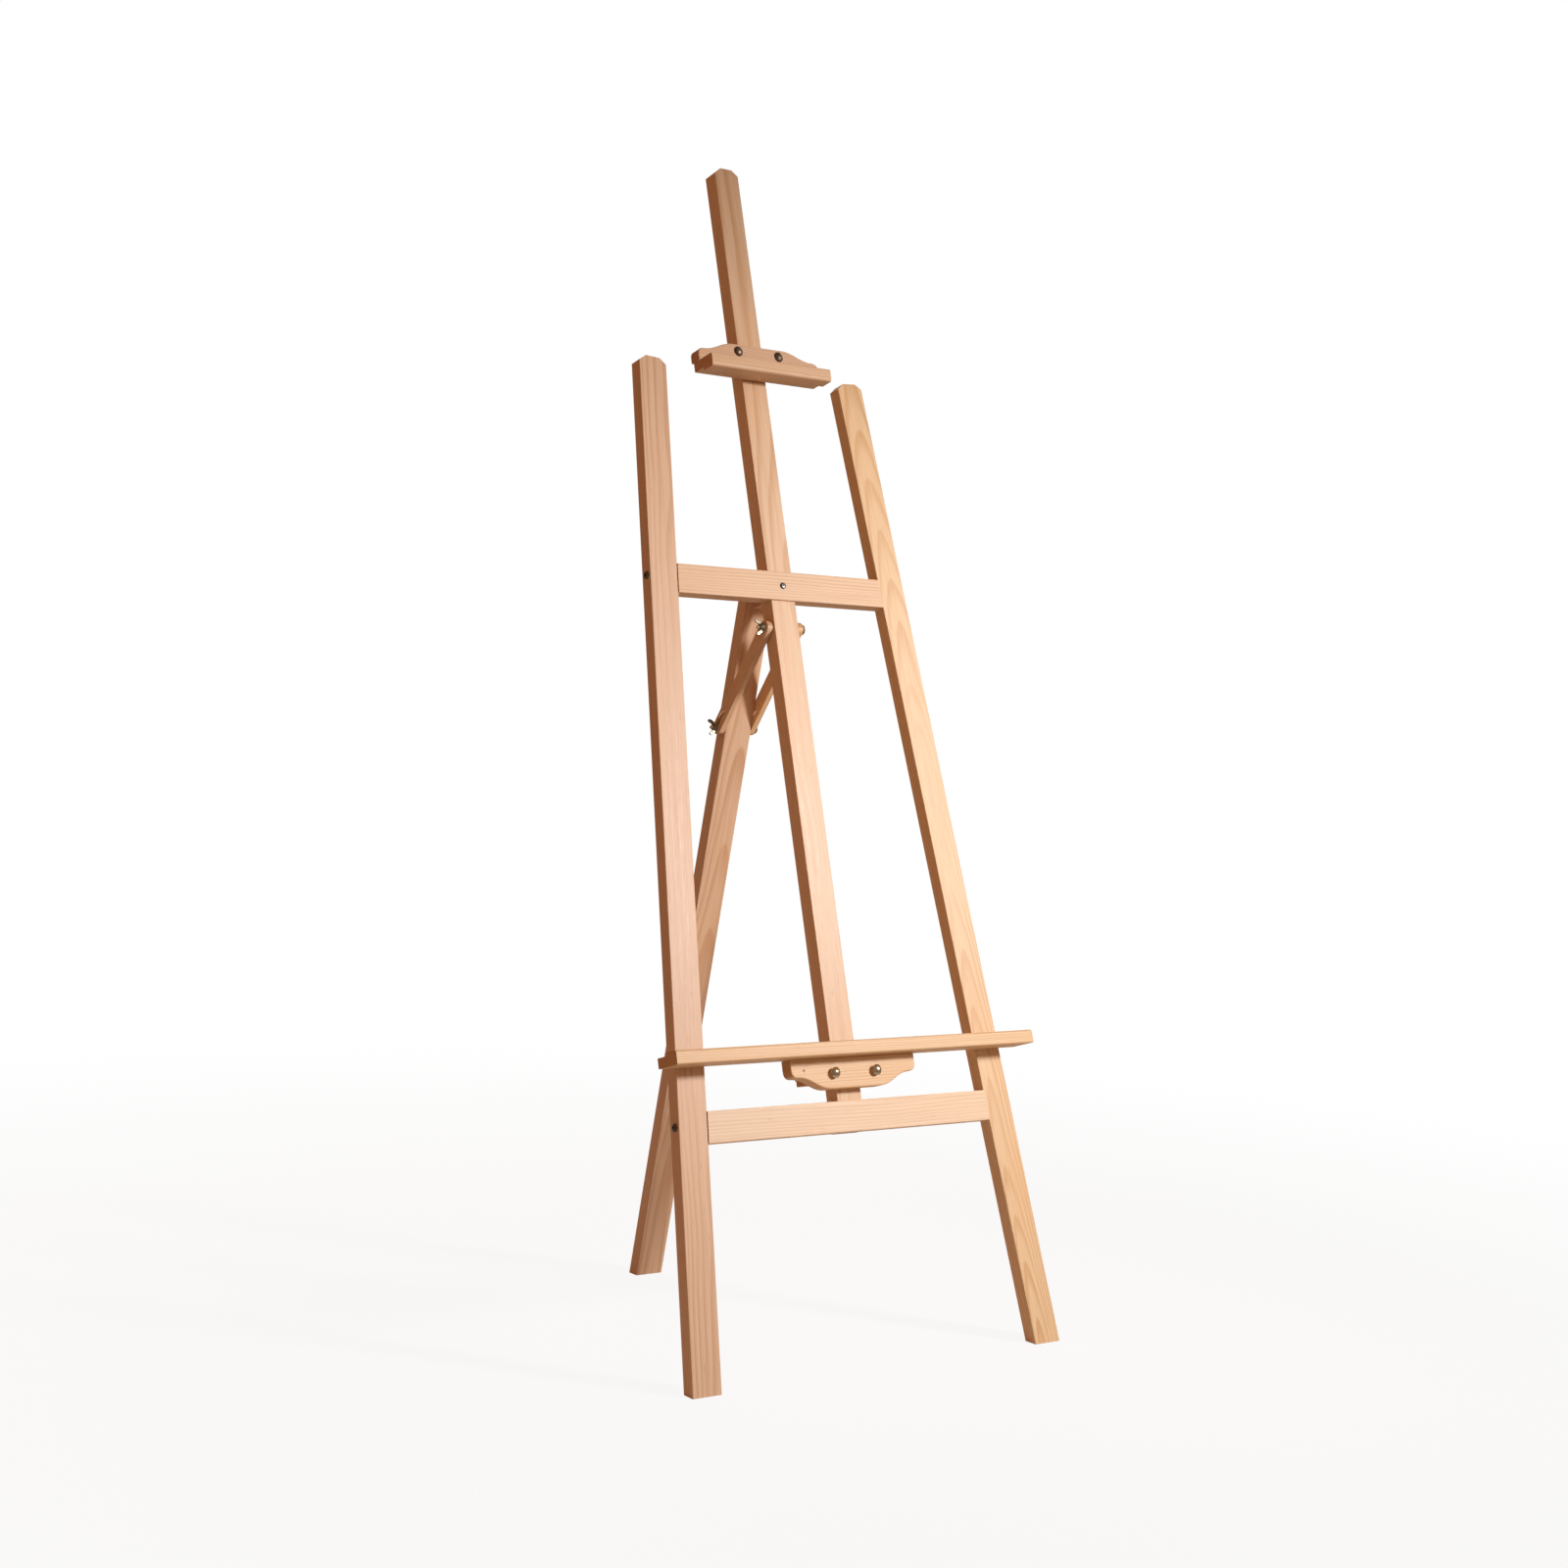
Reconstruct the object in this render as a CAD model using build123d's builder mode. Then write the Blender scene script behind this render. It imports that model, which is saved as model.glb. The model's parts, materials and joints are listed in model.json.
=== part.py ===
"""Wooden lyre easel: a leaning front frame, a hinged rear leg held by two struts, and two canvas clamps.

Millimetres, +Z up, the feet on Z = 0. The origin is on the floor, midway between the front feet and the
heel of the rear foot. The front frame is drawn in its own leaning plane: X to the right, S up the frame
from the floor line, and depth measured backwards from the front faces of the legs.
"""

from math import atan2, cos, degrees, radians, sin, tan
import os

from build123d import *

# Stance
lean_angle = 17.1  # front frame from vertical
spread_angle = 28.2  # rear leg from the front frame
foot_half_spacing = 309.4  # leg centre line at the floor
top_half_spacing = 187.6  # leg centre line at splay_height
splay_height = 1489.6

# Timber
leg_width = 48.0
leg_thickness = 22.0
leg_length = 1512.0
leg_clip_width = 12.0
leg_clip_height = 9.0
mast_width = 45.0
mast_thickness = 26.0
mast_top = 1844.0
mast_clip_width = 12.0
mast_clip_height = 9.5
mast_set_back = 2.5  # mast front behind the leg fronts
crossbar_height = 45.0
crossbar_thickness = 22.0
crossbar_stand_out = 1.5  # crossbar front ahead of the leg fronts
lower_crossbar_s = 359.1
upper_crossbar_s = 1160.4
lap_depth = 9.0  # housing cut in each crossbar
timber_ease = 1.2  # rounded long edges

# Hinge at the head of the rear leg
hinge_width = 40.0
hinge_leaf_length = 25.0
hinge_leaf_thickness = 1.8
hinge_closed_gap = 0.6  # between the leaves when folded flat
knuckle_radius = 3.5
knuckle_count = 5
knuckle_gap = 0.3
hinge_pin_radius = 1.75
hinge_pin_clearance = 0.06
hinge_pin_head_height = 1.2
hinge_pin_s = 1176.0
hinge_block_thickness = 17.0
hinge_block_height = 34.0
hinge_screw_spacing_x = 24.0
hinge_screw_spacing_y = 10.0
hinge_screw_length = 14.0

# Struts
strut_width = 21.0
strut_thickness = 9.0
strut_side_gap = 0.1  # between a strut and the rear leg
strut_top_s = 1098.0
strut_leg_distance = 226.7  # from the hinge pin down the rear leg to the strut bolt
slot_clearance = 0.3

# M6 hardware
bolt_radius = 3.0
bolt_clearance = 0.3
turning_clearance = 0.08
bolt_head_radius = 8.0
bolt_head_height = 4.0
bolt_neck_proud = 0.25  # square neck beyond the shank, on each side
bolt_neck_height = 5.0  # proud of the wood, except in the top clamp, where it is drawn home
bolt_show = 3.5  # thread left beyond a wing nut
bolt_tip_chamfer = 0.8
washer_radius = 6.25
washer_thickness = 1.6
nut_radius = 6.3
nut_top_radius = 5.0
nut_height = 7.0
wing_radius = 12.6
wing_height = 14.0
wing_thickness = 2.2

# Crossbar connector bolts
connector_head_radius = 6.0
connector_head_height = 2.6
connector_socket = 4.0  # across flats
connector_reach = 6.0  # beyond the barrel nut's middle
barrel_radius = 5.0
barrel_length = 16.0
barrel_inset = 26.0  # from the crossbar's end

# Wood screws
screw_clearance = 0.05
mast_screw_head_radius = 5.0
mast_screw_head_height = 2.4
mast_screw_radius = 2.5
upper_mast_screw_bite = 14.0  # into the hinge block
lower_mast_screw_bite = 9.0  # into the lower crossbar
shelf_screw_head_radius = 3.8
shelf_screw_radius = 2.0
shelf_screw_margin = 4.0  # plate left beyond a screw's tip, at the plate's ends
shelf_screw_spacing = 75.0
hinge_screw_head_radius = 3.0
hinge_screw_radius = 1.4

# Canvas clamps
plate_width = 228.0
shelf_plate_height = 45.0
top_plate_height = 34.0
plate_thickness = 20.0
plate_shoulder = 27.0  # height of the shelf plate's ends, beside the ogees
plate_corner = 12.0
plate_flat = 92.0  # straight length of the ogee's long edge
plate_ease = 1.8
clamp_bolt_spacing = 76.0
clamp_bolt_offset = 22.5  # from the bar
rear_block_width = 120.0
rear_block_height = 22.0
rear_block_thickness = 18.0
slide_gap = 0.15  # plate and rear block from the mast
shelf_length = 652.0
top_bar_length = 224.0
shelf_depth = 47.5
shelf_thickness = 15.0
shelf_lip_width = 24.0
shelf_lip_height = 5.0
shelf_nose_radius = 4.0
shelf_leg_gap = 0.5
shelf_rest_height = 16.9  # plate above the lower crossbar, as the shelf is set
top_bar_upper_s = 1504.5  # as the top clamp is set

os.makedirs("parts", exist_ok=True)


# ---------------------------------------------------------------- placement

splay_angle = degrees(atan2(foot_half_spacing - top_half_spacing, splay_height))
rear_tilt = spread_angle - lean_angle
hinge_block_back = mast_set_back + mast_thickness + hinge_block_thickness
leaf_offset = hinge_closed_gap / 2 + hinge_leaf_thickness  # pin axis to the wood behind a leaf
pin_depth = hinge_block_back + leaf_offset

lean_up = Vector(0, sin(radians(lean_angle)), cos(radians(lean_angle)))
lean_back = Vector(0, cos(radians(lean_angle)), -sin(radians(lean_angle)))
pin_from_floor_line = lean_up * hinge_pin_s + lean_back * pin_depth
rear_reach = (
    pin_from_floor_line.Y
    + (leaf_offset + leg_thickness) / cos(radians(rear_tilt))
    + pin_from_floor_line.Z * tan(radians(rear_tilt))
)
floor_line = Vector(0, -rear_reach / 2, 0)

lean_axis = Axis((0, 0, 0), -lean_back)
lean = Plane(origin=floor_line, x_dir=(1, 0, 0), z_dir=-lean_back)
lean_side = Plane(origin=floor_line, x_dir=lean_back, z_dir=(1, 0, 0))  # local x is depth, local y is S
pin_centre = floor_line + pin_from_floor_line

rear_up = Vector(0, -sin(radians(rear_tilt)), cos(radians(rear_tilt)))
rear_back = Vector(0, cos(radians(rear_tilt)), sin(radians(rear_tilt)))
rear = Plane(origin=pin_centre, x_dir=(1, 0, 0), z_dir=-rear_back)


def at(x, s, depth):
    """Point of the leaning frame."""
    return floor_line + Vector(x, 0, 0) + lean_up * s + lean_back * depth


def across(point, x, direction):
    """Plane square to X through a point, its local x along a direction."""
    return Plane(origin=(x, point.Y, point.Z), x_dir=direction, z_dir=(1, 0, 0))


def leg_plane(side):
    """Front plane of a front leg, its origin at the foot and its local y up the leg."""
    foot = at(side * foot_half_spacing, 0, 0)
    upright = Vector(-side * sin(radians(splay_angle)), 0, 0) + lean_up * cos(radians(splay_angle))
    return Plane(origin=foot, x_dir=upright.cross(lean.z_dir), z_dir=lean.z_dir)


def leg_inner_x(s):
    """Distance from the middle to a leg's inner face at height S."""
    slope = tan(radians(splay_angle))
    return foot_half_spacing - s * slope - leg_width / 2 / cos(radians(splay_angle))


def write(builder, name):
    """Label a finished piece and export it."""
    builder.part.label = name
    export_step(builder.part, f"parts/{name}.step")


# ---------------------------------------------------------------- hardware masters

bolt_neck_side = 2 * (bolt_radius + bolt_neck_proud)


def carriage_bolt(length):
    """Dome-head bolt whose square neck stands on XY, with its shank down."""
    dome_radius = (bolt_head_radius**2 + bolt_head_height**2) / (2 * bolt_head_height)
    with BuildPart() as bolt:
        with BuildSketch(Plane.XY):
            Circle(bolt_radius)
        extrude(amount=-length)
        chamfer(bolt.edges().group_by(Axis.Z)[0], bolt_tip_chamfer)
        with BuildSketch(Plane.XY):
            Rectangle(bolt_neck_side, bolt_neck_side)
        extrude(amount=bolt_neck_height)
        with BuildSketch(Plane.XZ):
            with Locations((0, bolt_neck_height + bolt_head_height - dome_radius)):
                Circle(dome_radius)
            with Locations((0, bolt_neck_height)):
                Rectangle(dome_radius, dome_radius, align=(Align.MIN, Align.MIN), mode=Mode.INTERSECT)
        revolve(axis=Axis.Z)
    return bolt.part


def washer(thickness):
    """Flat washer standing on XY."""
    with BuildPart() as ring:
        with BuildSketch(Plane.XY):
            Circle(washer_radius)
            Circle(bolt_radius + bolt_clearance, mode=Mode.SUBTRACT)
        extrude(amount=thickness)
    return ring.part


def wing_nut():
    """Wing nut standing on XY, its wings along X."""
    with BuildPart() as nut:
        with BuildSketch(Plane.XZ):
            Polygon(
                (0, 0),
                (nut_radius, 0),
                (nut_radius, nut_height * 0.25),
                (nut_top_radius, nut_height),
                (0, nut_height),
                align=None,
            )
        revolve(axis=Axis.Z)
        with BuildSketch(Plane.XZ):
            for side in (1, -1):
                with BuildLine():
                    Spline(
                        (side * nut_top_radius * 0.7, nut_height * 0.2),
                        (side * nut_radius * 1.15, nut_height * 0.35),
                        (side * wing_radius * 0.9, wing_height * 0.45),
                        (side * wing_radius, wing_height * 0.75),
                        (side * wing_radius * 0.86, wing_height),
                        (side * wing_radius * 0.62, wing_height * 0.86),
                        (side * nut_top_radius * 0.7, nut_height * 0.9),
                    )
                    Line(
                        (side * nut_top_radius * 0.7, nut_height * 0.9),
                        (side * nut_top_radius * 0.7, nut_height * 0.2),
                    )
                make_face()
        extrude(amount=wing_thickness / 2, both=True)
        Hole(bolt_radius + turning_clearance)
    return nut.part


def countersunk_screw(head_radius, shank_radius, length):
    """Countersunk wood screw, its head flush with XY and its shank down."""
    cone = head_radius - shank_radius
    with BuildPart() as screw:
        with BuildSketch(Plane.XZ):
            Polygon(
                (0, 0),
                (head_radius, 0),
                (shank_radius, -cone),
                (shank_radius, -length + shank_radius * 2),
                (0, -length),
                align=None,
            )
        revolve(axis=Axis.Z)
        with BuildSketch(Plane.XY):
            for turn in (0, 90):
                Rectangle(head_radius, head_radius * 0.22, rotation=turn)
        extrude(amount=-cone * 0.6, mode=Mode.SUBTRACT)
    return screw.part


def pan_screw(length):
    """Pan-head wood screw, seated on XY with its shank down."""
    with BuildPart() as screw:
        with BuildSketch(Plane.XZ):
            Polygon(
                (0, mast_screw_head_height),
                (mast_screw_head_radius * 0.6, mast_screw_head_height),
                (mast_screw_head_radius, mast_screw_head_height * 0.35),
                (mast_screw_head_radius, 0),
                (mast_screw_radius, 0),
                (mast_screw_radius, -length + mast_screw_radius * 2),
                (0, -length),
                align=None,
            )
        revolve(axis=Axis.Z)
        with BuildSketch(Plane.XY.offset(mast_screw_head_height)):
            for turn in (0, 90):
                Rectangle(mast_screw_head_radius, mast_screw_head_radius * 0.22, rotation=turn)
        extrude(amount=-mast_screw_head_height * 0.55, mode=Mode.SUBTRACT)
    return screw.part


# ---------------------------------------------------------------- front frame

def stick_outline(width, bottom, top, clip_width, clip_height):
    """Outline of an upright whose top corners are clipped."""
    half = width / 2
    return [
        (-half, bottom),
        (half, bottom),
        (half, top - clip_height),
        (half - clip_width, top),
        (clip_width - half, top),
        (-half, top - clip_height),
    ]


crossbar_mid_depth = crossbar_thickness / 2 - crossbar_stand_out
connector_length = leg_width + barrel_inset + connector_reach


def connector_plane(side, s):
    """Seat of a connector bolt's head on a leg's outer face, square to that face."""
    face = leg_plane(side)
    inner = at(side * leg_inner_x(s), s, crossbar_mid_depth)
    outward = face.x_dir * side
    return Plane(origin=inner + outward * leg_width, x_dir=face.y_dir, z_dir=outward)


connector_seats = [
    connector_plane(side, s) for side in (-1, 1) for s in (lower_crossbar_s, upper_crossbar_s)
]


def front_leg(side):
    """Front leg with clipped head and a foot cut to the floor."""
    face = leg_plane(side)
    with BuildPart() as leg:
        with BuildSketch(face):
            Polygon(
                *stick_outline(leg_width, -leg_width, leg_length, leg_clip_width, leg_clip_height),
                align=None,
            )
        extrude(amount=-leg_thickness)
        fillet(leg.edges().filter_by(Axis((0, 0, 0), face.y_dir)), timber_ease)
        split(bisect_by=Plane.XY, keep=Keep.TOP)
        for s in (lower_crossbar_s, upper_crossbar_s):
            with Locations(connector_plane(side, s)):
                Hole(bolt_radius + bolt_clearance, depth=leg_width + 1)
    return leg


left_leg = front_leg(-1)
write(left_leg, "left_leg")
right_leg = front_leg(1)
write(right_leg, "right_leg")


mast_back = mast_set_back + mast_thickness
lap_floor = crossbar_thickness - crossbar_stand_out - lap_depth
upper_mast_screw_length = crossbar_stand_out + mast_back + upper_mast_screw_bite
lower_mast_screw_length = mast_back - lap_floor + lower_mast_screw_bite
upper_mast_screw = pan_screw(upper_mast_screw_length)
lower_mast_screw = pan_screw(lower_mast_screw_length)
upper_mast_screw_seat = Plane(
    origin=at(0, upper_crossbar_s, -crossbar_stand_out), x_dir=(1, 0, 0), z_dir=-lean_back
)
lower_mast_screw_seat = Plane(
    origin=at(0, lower_crossbar_s, mast_back), x_dir=(1, 0, 0), z_dir=lean_back
)


def crossbar(middle_s, screw_seat, screw_length):
    """Crossbar between the legs, housed from behind over the mast and drilled for its fixings."""
    low = middle_s - crossbar_height / 2
    high = middle_s + crossbar_height / 2
    with BuildPart() as bar:
        with BuildSketch(lean.offset(crossbar_stand_out)):
            Polygon(
                (-leg_inner_x(low), low),
                (leg_inner_x(low), low),
                (leg_inner_x(high), high),
                (-leg_inner_x(high), high),
                align=None,
            )
        extrude(amount=-crossbar_thickness)
        fillet(bar.edges().filter_by(Axis.X), timber_ease)
        with BuildSketch(lean.offset(crossbar_stand_out - crossbar_thickness)):
            with Locations((0, middle_s)):
                Rectangle(mast_width, crossbar_height + 2)
        extrude(amount=lap_depth, mode=Mode.SUBTRACT)
        for side in (-1, 1):
            seat = connector_plane(side, middle_s)
            with Locations(seat):
                Hole(bolt_radius + bolt_clearance, depth=connector_length + 2)
            barrel = seat.origin - seat.z_dir * (leg_width + barrel_inset)
            mouth = barrel + lean_back * (crossbar_thickness / 2)
            with Locations(Plane(origin=mouth, x_dir=(1, 0, 0), z_dir=lean_back)):
                Hole(barrel_radius + screw_clearance, depth=(crossbar_thickness + barrel_length) / 2)
        with Locations(screw_seat):
            Hole(mast_screw_radius + screw_clearance, depth=screw_length + screw_clearance)
    return bar


lower_crossbar = crossbar(lower_crossbar_s, lower_mast_screw_seat, lower_mast_screw_length)
write(lower_crossbar, "lower_crossbar")
upper_crossbar = crossbar(upper_crossbar_s, upper_mast_screw_seat, upper_mast_screw_length)
write(upper_crossbar, "upper_crossbar")

mast_foot = lower_crossbar_s - crossbar_height / 2
strut_top = at(0, strut_top_s, mast_set_back + mast_thickness / 2)
with BuildPart() as mast:
    with BuildSketch(lean.offset(-mast_set_back)):
        Polygon(
            *stick_outline(mast_width, mast_foot, mast_top, mast_clip_width, mast_clip_height),
            align=None,
        )
    extrude(amount=-mast_thickness)
    fillet(mast.edges().filter_by(Axis((0, 0, 0), lean_up)), timber_ease)
    with BuildSketch(lean.offset(-mast_set_back)):
        with Locations((0, lower_crossbar_s), (0, upper_crossbar_s)):
            Rectangle(mast_width + 2, crossbar_height)
    extrude(amount=mast_set_back - lap_floor, mode=Mode.SUBTRACT)
    with Locations(upper_mast_screw_seat, lower_mast_screw_seat):
        Hole(mast_screw_radius + screw_clearance, depth=mast_thickness + crossbar_thickness)
    with Locations(across(strut_top, mast_width / 2, lean_back)):
        Hole(bolt_radius + bolt_clearance, depth=mast_width)
write(mast, "mast")

hinge_block_top = hinge_pin_s - knuckle_radius - knuckle_gap
hinge_screw_centre_y = hinge_leaf_length / 2 + knuckle_radius / 2 + knuckle_gap / 2
frame_leaf_face = Plane(
    origin=at(0, hinge_pin_s - hinge_screw_centre_y, hinge_block_back + hinge_leaf_thickness),
    x_dir=(1, 0, 0),
    z_dir=lean_back,
)
leg_leaf_face = Plane(
    origin=pin_centre - rear_up * hinge_screw_centre_y + rear_back * (hinge_closed_gap / 2),
    x_dir=(1, 0, 0),
    z_dir=-rear_back,
)
hinge_screw = countersunk_screw(hinge_screw_head_radius, hinge_screw_radius, hinge_screw_length)

with BuildPart() as hinge_block:
    with BuildSketch(lean.offset(-mast_back)):
        with Locations((0, hinge_block_top - hinge_block_height / 2)):
            Rectangle(mast_width, hinge_block_height)
    extrude(amount=-hinge_block_thickness)
    fillet(hinge_block.edges().filter_by(Axis.X).group_by(Axis.Y)[-1], timber_ease)
    with Locations(upper_mast_screw_seat):
        Hole(mast_screw_radius + screw_clearance, depth=upper_mast_screw_length + screw_clearance)
    with Locations(frame_leaf_face):
        with GridLocations(hinge_screw_spacing_x, hinge_screw_spacing_y, 2, 2):
            Hole(hinge_screw_radius + screw_clearance, depth=hinge_screw_length + screw_clearance)
write(hinge_block, "hinge_block")

with BuildPart() as mast_screws:
    with Locations(upper_mast_screw_seat):
        add(upper_mast_screw)
    with Locations(lower_mast_screw_seat):
        add(lower_mast_screw)
write(mast_screws, "mast_screws")

with BuildPart() as connector:
    with BuildSketch(Plane.XZ):
        Polygon(
            (0, connector_head_height),
            (connector_head_radius * 0.7, connector_head_height),
            (connector_head_radius, connector_head_height * 0.3),
            (connector_head_radius, 0),
            (bolt_radius, 0),
            (bolt_radius, -connector_length),
            (0, -connector_length),
            align=None,
        )
    revolve(axis=Axis.Z)
    with BuildSketch(Plane.XY.offset(connector_head_height)):
        RegularPolygon(connector_socket / 2, 6, major_radius=False)
    extrude(amount=-connector_head_height * 0.8, mode=Mode.SUBTRACT)

with BuildPart() as crossbar_bolts:
    for seat in connector_seats:
        with Locations(seat):
            add(connector.part)
write(crossbar_bolts, "crossbar_bolts")

with BuildPart() as barrel_nuts:
    for seat in connector_seats:
        centre = seat.origin - seat.z_dir * (leg_width + barrel_inset)
        inner_end = centre - lean_back * (barrel_length / 2)
        with BuildSketch(Plane(origin=inner_end, x_dir=(1, 0, 0), z_dir=lean_back)):
            Circle(barrel_radius)
        extrude(amount=barrel_length)
        with Locations(seat):
            Hole(bolt_radius + screw_clearance, depth=connector_length + 2)
write(barrel_nuts, "barrel_nuts")


# ---------------------------------------------------------------- hinge

knuckle_pitch = hinge_width / knuckle_count


def knuckle_rows(first):
    """Middles of every second knuckle along X."""
    start = -hinge_width / 2 + knuckle_pitch / 2
    return [start + knuckle_pitch * row for row in range(first, knuckle_count, 2)]


def hinge_leaf(board, screw_face, own_rows, other_rows):
    """Hinge leaf hanging from the pin; board is the front of its plate, its origin level with the pin."""
    with BuildPart() as leaf:
        with BuildSketch(board):
            with Locations((0, -hinge_leaf_length / 2)):
                Rectangle(hinge_width, hinge_leaf_length)
        extrude(amount=-hinge_leaf_thickness)
        for x in own_rows:
            with BuildSketch(across(pin_centre, x, lean_back)):
                Circle(knuckle_radius)
            extrude(amount=(knuckle_pitch - knuckle_gap) / 2, both=True)
        for x in own_rows:
            with BuildSketch(across(pin_centre, x, lean_back)):
                Circle(hinge_pin_radius + hinge_pin_clearance)
            extrude(amount=knuckle_pitch, both=True, mode=Mode.SUBTRACT)
        for x in other_rows:
            with BuildSketch(across(pin_centre, x, lean_back)):
                Circle(knuckle_radius + knuckle_gap)
            extrude(amount=(knuckle_pitch + knuckle_gap) / 2, both=True, mode=Mode.SUBTRACT)
        with Locations(screw_face):
            with GridLocations(hinge_screw_spacing_x, hinge_screw_spacing_y, 2, 2):
                CounterSinkHole(
                    hinge_screw_radius + screw_clearance,
                    hinge_screw_head_radius + screw_clearance,
                    depth=hinge_leaf_thickness * 2,
                    counter_sink_angle=90,
                )
    return leaf


frame_rows = knuckle_rows(0)
leg_rows = knuckle_rows(1)
frame_board = Plane(origin=at(0, hinge_pin_s, hinge_block_back), x_dir=(1, 0, 0), z_dir=-lean_back)
leg_board = Plane(
    origin=pin_centre + rear_back * (hinge_closed_gap / 2), x_dir=(1, 0, 0), z_dir=-rear_back
)
hinge_frame_leaf = hinge_leaf(frame_board, frame_leaf_face, frame_rows, leg_rows)
write(hinge_frame_leaf, "hinge_frame_leaf")
hinge_leg_leaf = hinge_leaf(leg_board, leg_leaf_face, leg_rows, frame_rows)
write(hinge_leg_leaf, "hinge_leg_leaf")

with BuildPart() as hinge_pin:
    with BuildSketch(across(pin_centre, 0, lean_back)):
        Circle(hinge_pin_radius)
    extrude(amount=hinge_width / 2, both=True)
    for side in (-1, 1):
        with BuildSketch(across(pin_centre, side * hinge_width / 2, lean_back)):
            Circle(hinge_pin_radius * 1.5)
        extrude(amount=side * hinge_pin_head_height)
        head_rim = hinge_pin.edges().group_by(Axis.X)[-1 if side > 0 else 0]
        fillet(head_rim, hinge_pin_head_height / 2)
write(hinge_pin, "hinge_pin")

for leaf_face, name in ((frame_leaf_face, "hinge_frame_screws"), (leg_leaf_face, "hinge_leg_screws")):
    with BuildPart() as hinge_screws:
        with Locations(leaf_face):
            with GridLocations(hinge_screw_spacing_x, hinge_screw_spacing_y, 2, 2):
                add(hinge_screw)
    write(hinge_screws, name)


# ---------------------------------------------------------------- rear leg and struts

rear_leg_top = knuckle_radius + knuckle_gap
rear_leg_width = max(leg_width, mast_width + 2 * washer_thickness)
strut_foot = pin_centre - rear_up * strut_leg_distance + rear_back * (leaf_offset + leg_thickness / 2)

with BuildPart() as rear_leg:
    with BuildSketch(rear.offset(-leaf_offset)):
        with Locations((0, -rear_leg_top)):
            Rectangle(rear_leg_width, pin_centre.Z * 1.1, align=(Align.CENTER, Align.MAX))
    extrude(amount=-leg_thickness)
    fillet(rear_leg.edges().filter_by(Axis((0, 0, 0), rear_up)), timber_ease)
    split(bisect_by=Plane.XY, keep=Keep.TOP)
    with Locations(across(strut_foot, rear_leg_width / 2, rear_back)):
        Hole(bolt_radius + bolt_clearance, depth=rear_leg_width)
    with Locations(leg_leaf_face):
        with GridLocations(hinge_screw_spacing_x, hinge_screw_spacing_y, 2, 2):
            Hole(hinge_screw_radius + screw_clearance, depth=hinge_screw_length + screw_clearance)
write(rear_leg, "rear_leg")


def about(centre, point, turn):
    """Point turned about an X axis through a centre."""
    return centre + (point - centre).rotate(Axis.X, turn)


strut_foot_folded = about(pin_centre, strut_foot, -spread_angle)
strut_turn = (strut_foot - strut_top).get_angle(strut_foot_folded - strut_top)
strut_along = (strut_foot - strut_top).normalized()
strut_inner_x = rear_leg_width / 2 + strut_side_gap
strut_outer_x = strut_inner_x + strut_thickness
strut_plane = across(strut_top, strut_inner_x, strut_along)


def slot_point(share):
    """Place of the leg's bolt in the resting strut when the leg has folded by a share of its range."""
    leg_bolt = about(pin_centre, strut_foot, -spread_angle * share)
    place = strut_plane.to_local_coords(about(strut_top, leg_bolt, strut_turn * share))
    return (place.X, place.Y)


slot_line = ThreePointArc(slot_point(0), slot_point(0.5), slot_point(1))


def strut(inner_x):
    """Strut: a round hole on the mast's bolt and a bowed slot that the leg's bolt slides along."""
    length = (strut_foot - strut_top).length
    with BuildPart() as bar:
        with BuildSketch(across(strut_top, inner_x, strut_along)):
            SlotCenterPoint((length / 2, 0), (0, 0), strut_width)
            Circle(bolt_radius + turning_clearance, mode=Mode.SUBTRACT)
            SlotArc(slot_line, (bolt_radius + slot_clearance) * 2, mode=Mode.SUBTRACT)
        extrude(amount=strut_thickness)
    return bar


left_strut = strut(-strut_outer_x)
write(left_strut, "left_strut")
right_strut = strut(strut_inner_x)
write(right_strut, "right_strut")

flat_washer = washer(washer_thickness)
mast_pad = washer((rear_leg_width - mast_width) / 2)
butterfly = wing_nut()
strut_bolt = carriage_bolt(2 * strut_outer_x + washer_thickness + nut_height + bolt_show)
strut_nut_x = -strut_outer_x - washer_thickness


def strut_fixings(centre, place):
    """Bolt and wing nut of one strut pivot, its head on the right."""
    with BuildPart() as bolt:
        with Locations(Plane(origin=(strut_outer_x, centre.Y, centre.Z), x_dir=lean_up, z_dir=(1, 0, 0))):
            add(strut_bolt)
    write(bolt, f"{place}_strut_bolt")
    with BuildPart() as nut:
        with Locations(Plane(origin=(strut_nut_x, centre.Y, centre.Z), x_dir=lean_up, z_dir=(-1, 0, 0))):
            add(butterfly)
    write(nut, f"{place}_strut_wing_nut")


strut_fixings(strut_top, "upper")
strut_fixings(strut_foot, "lower")

# The two washers beside the mast pack it out to the rear leg's width.
with BuildPart() as upper_strut_washers:
    with Locations(across(strut_top, strut_nut_x, lean_up)):
        add(flat_washer)
    for x in (-rear_leg_width / 2, mast_width / 2):
        with Locations(across(strut_top, x, lean_up)):
            add(mast_pad)
write(upper_strut_washers, "upper_strut_washers")

with BuildPart() as lower_strut_washer:
    with Locations(across(strut_foot, strut_nut_x, lean_up)):
        add(flat_washer)
write(lower_strut_washer, "lower_strut_washer")


# ---------------------------------------------------------------- canvas clamps

plate_back = mast_set_back - slide_gap
plate_front = plate_back - plate_thickness
block_front = mast_back + slide_gap
block_back = block_front + rear_block_thickness
clamp_reach = block_back + washer_thickness + nut_height + bolt_show
shelf_screw_length = shelf_thickness + plate_shoulder - shelf_screw_margin
shelf_screw = countersunk_screw(shelf_screw_head_radius, shelf_screw_radius, shelf_screw_length)
screw_rows = (-shelf_screw_spacing, 0, shelf_screw_spacing)


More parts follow.
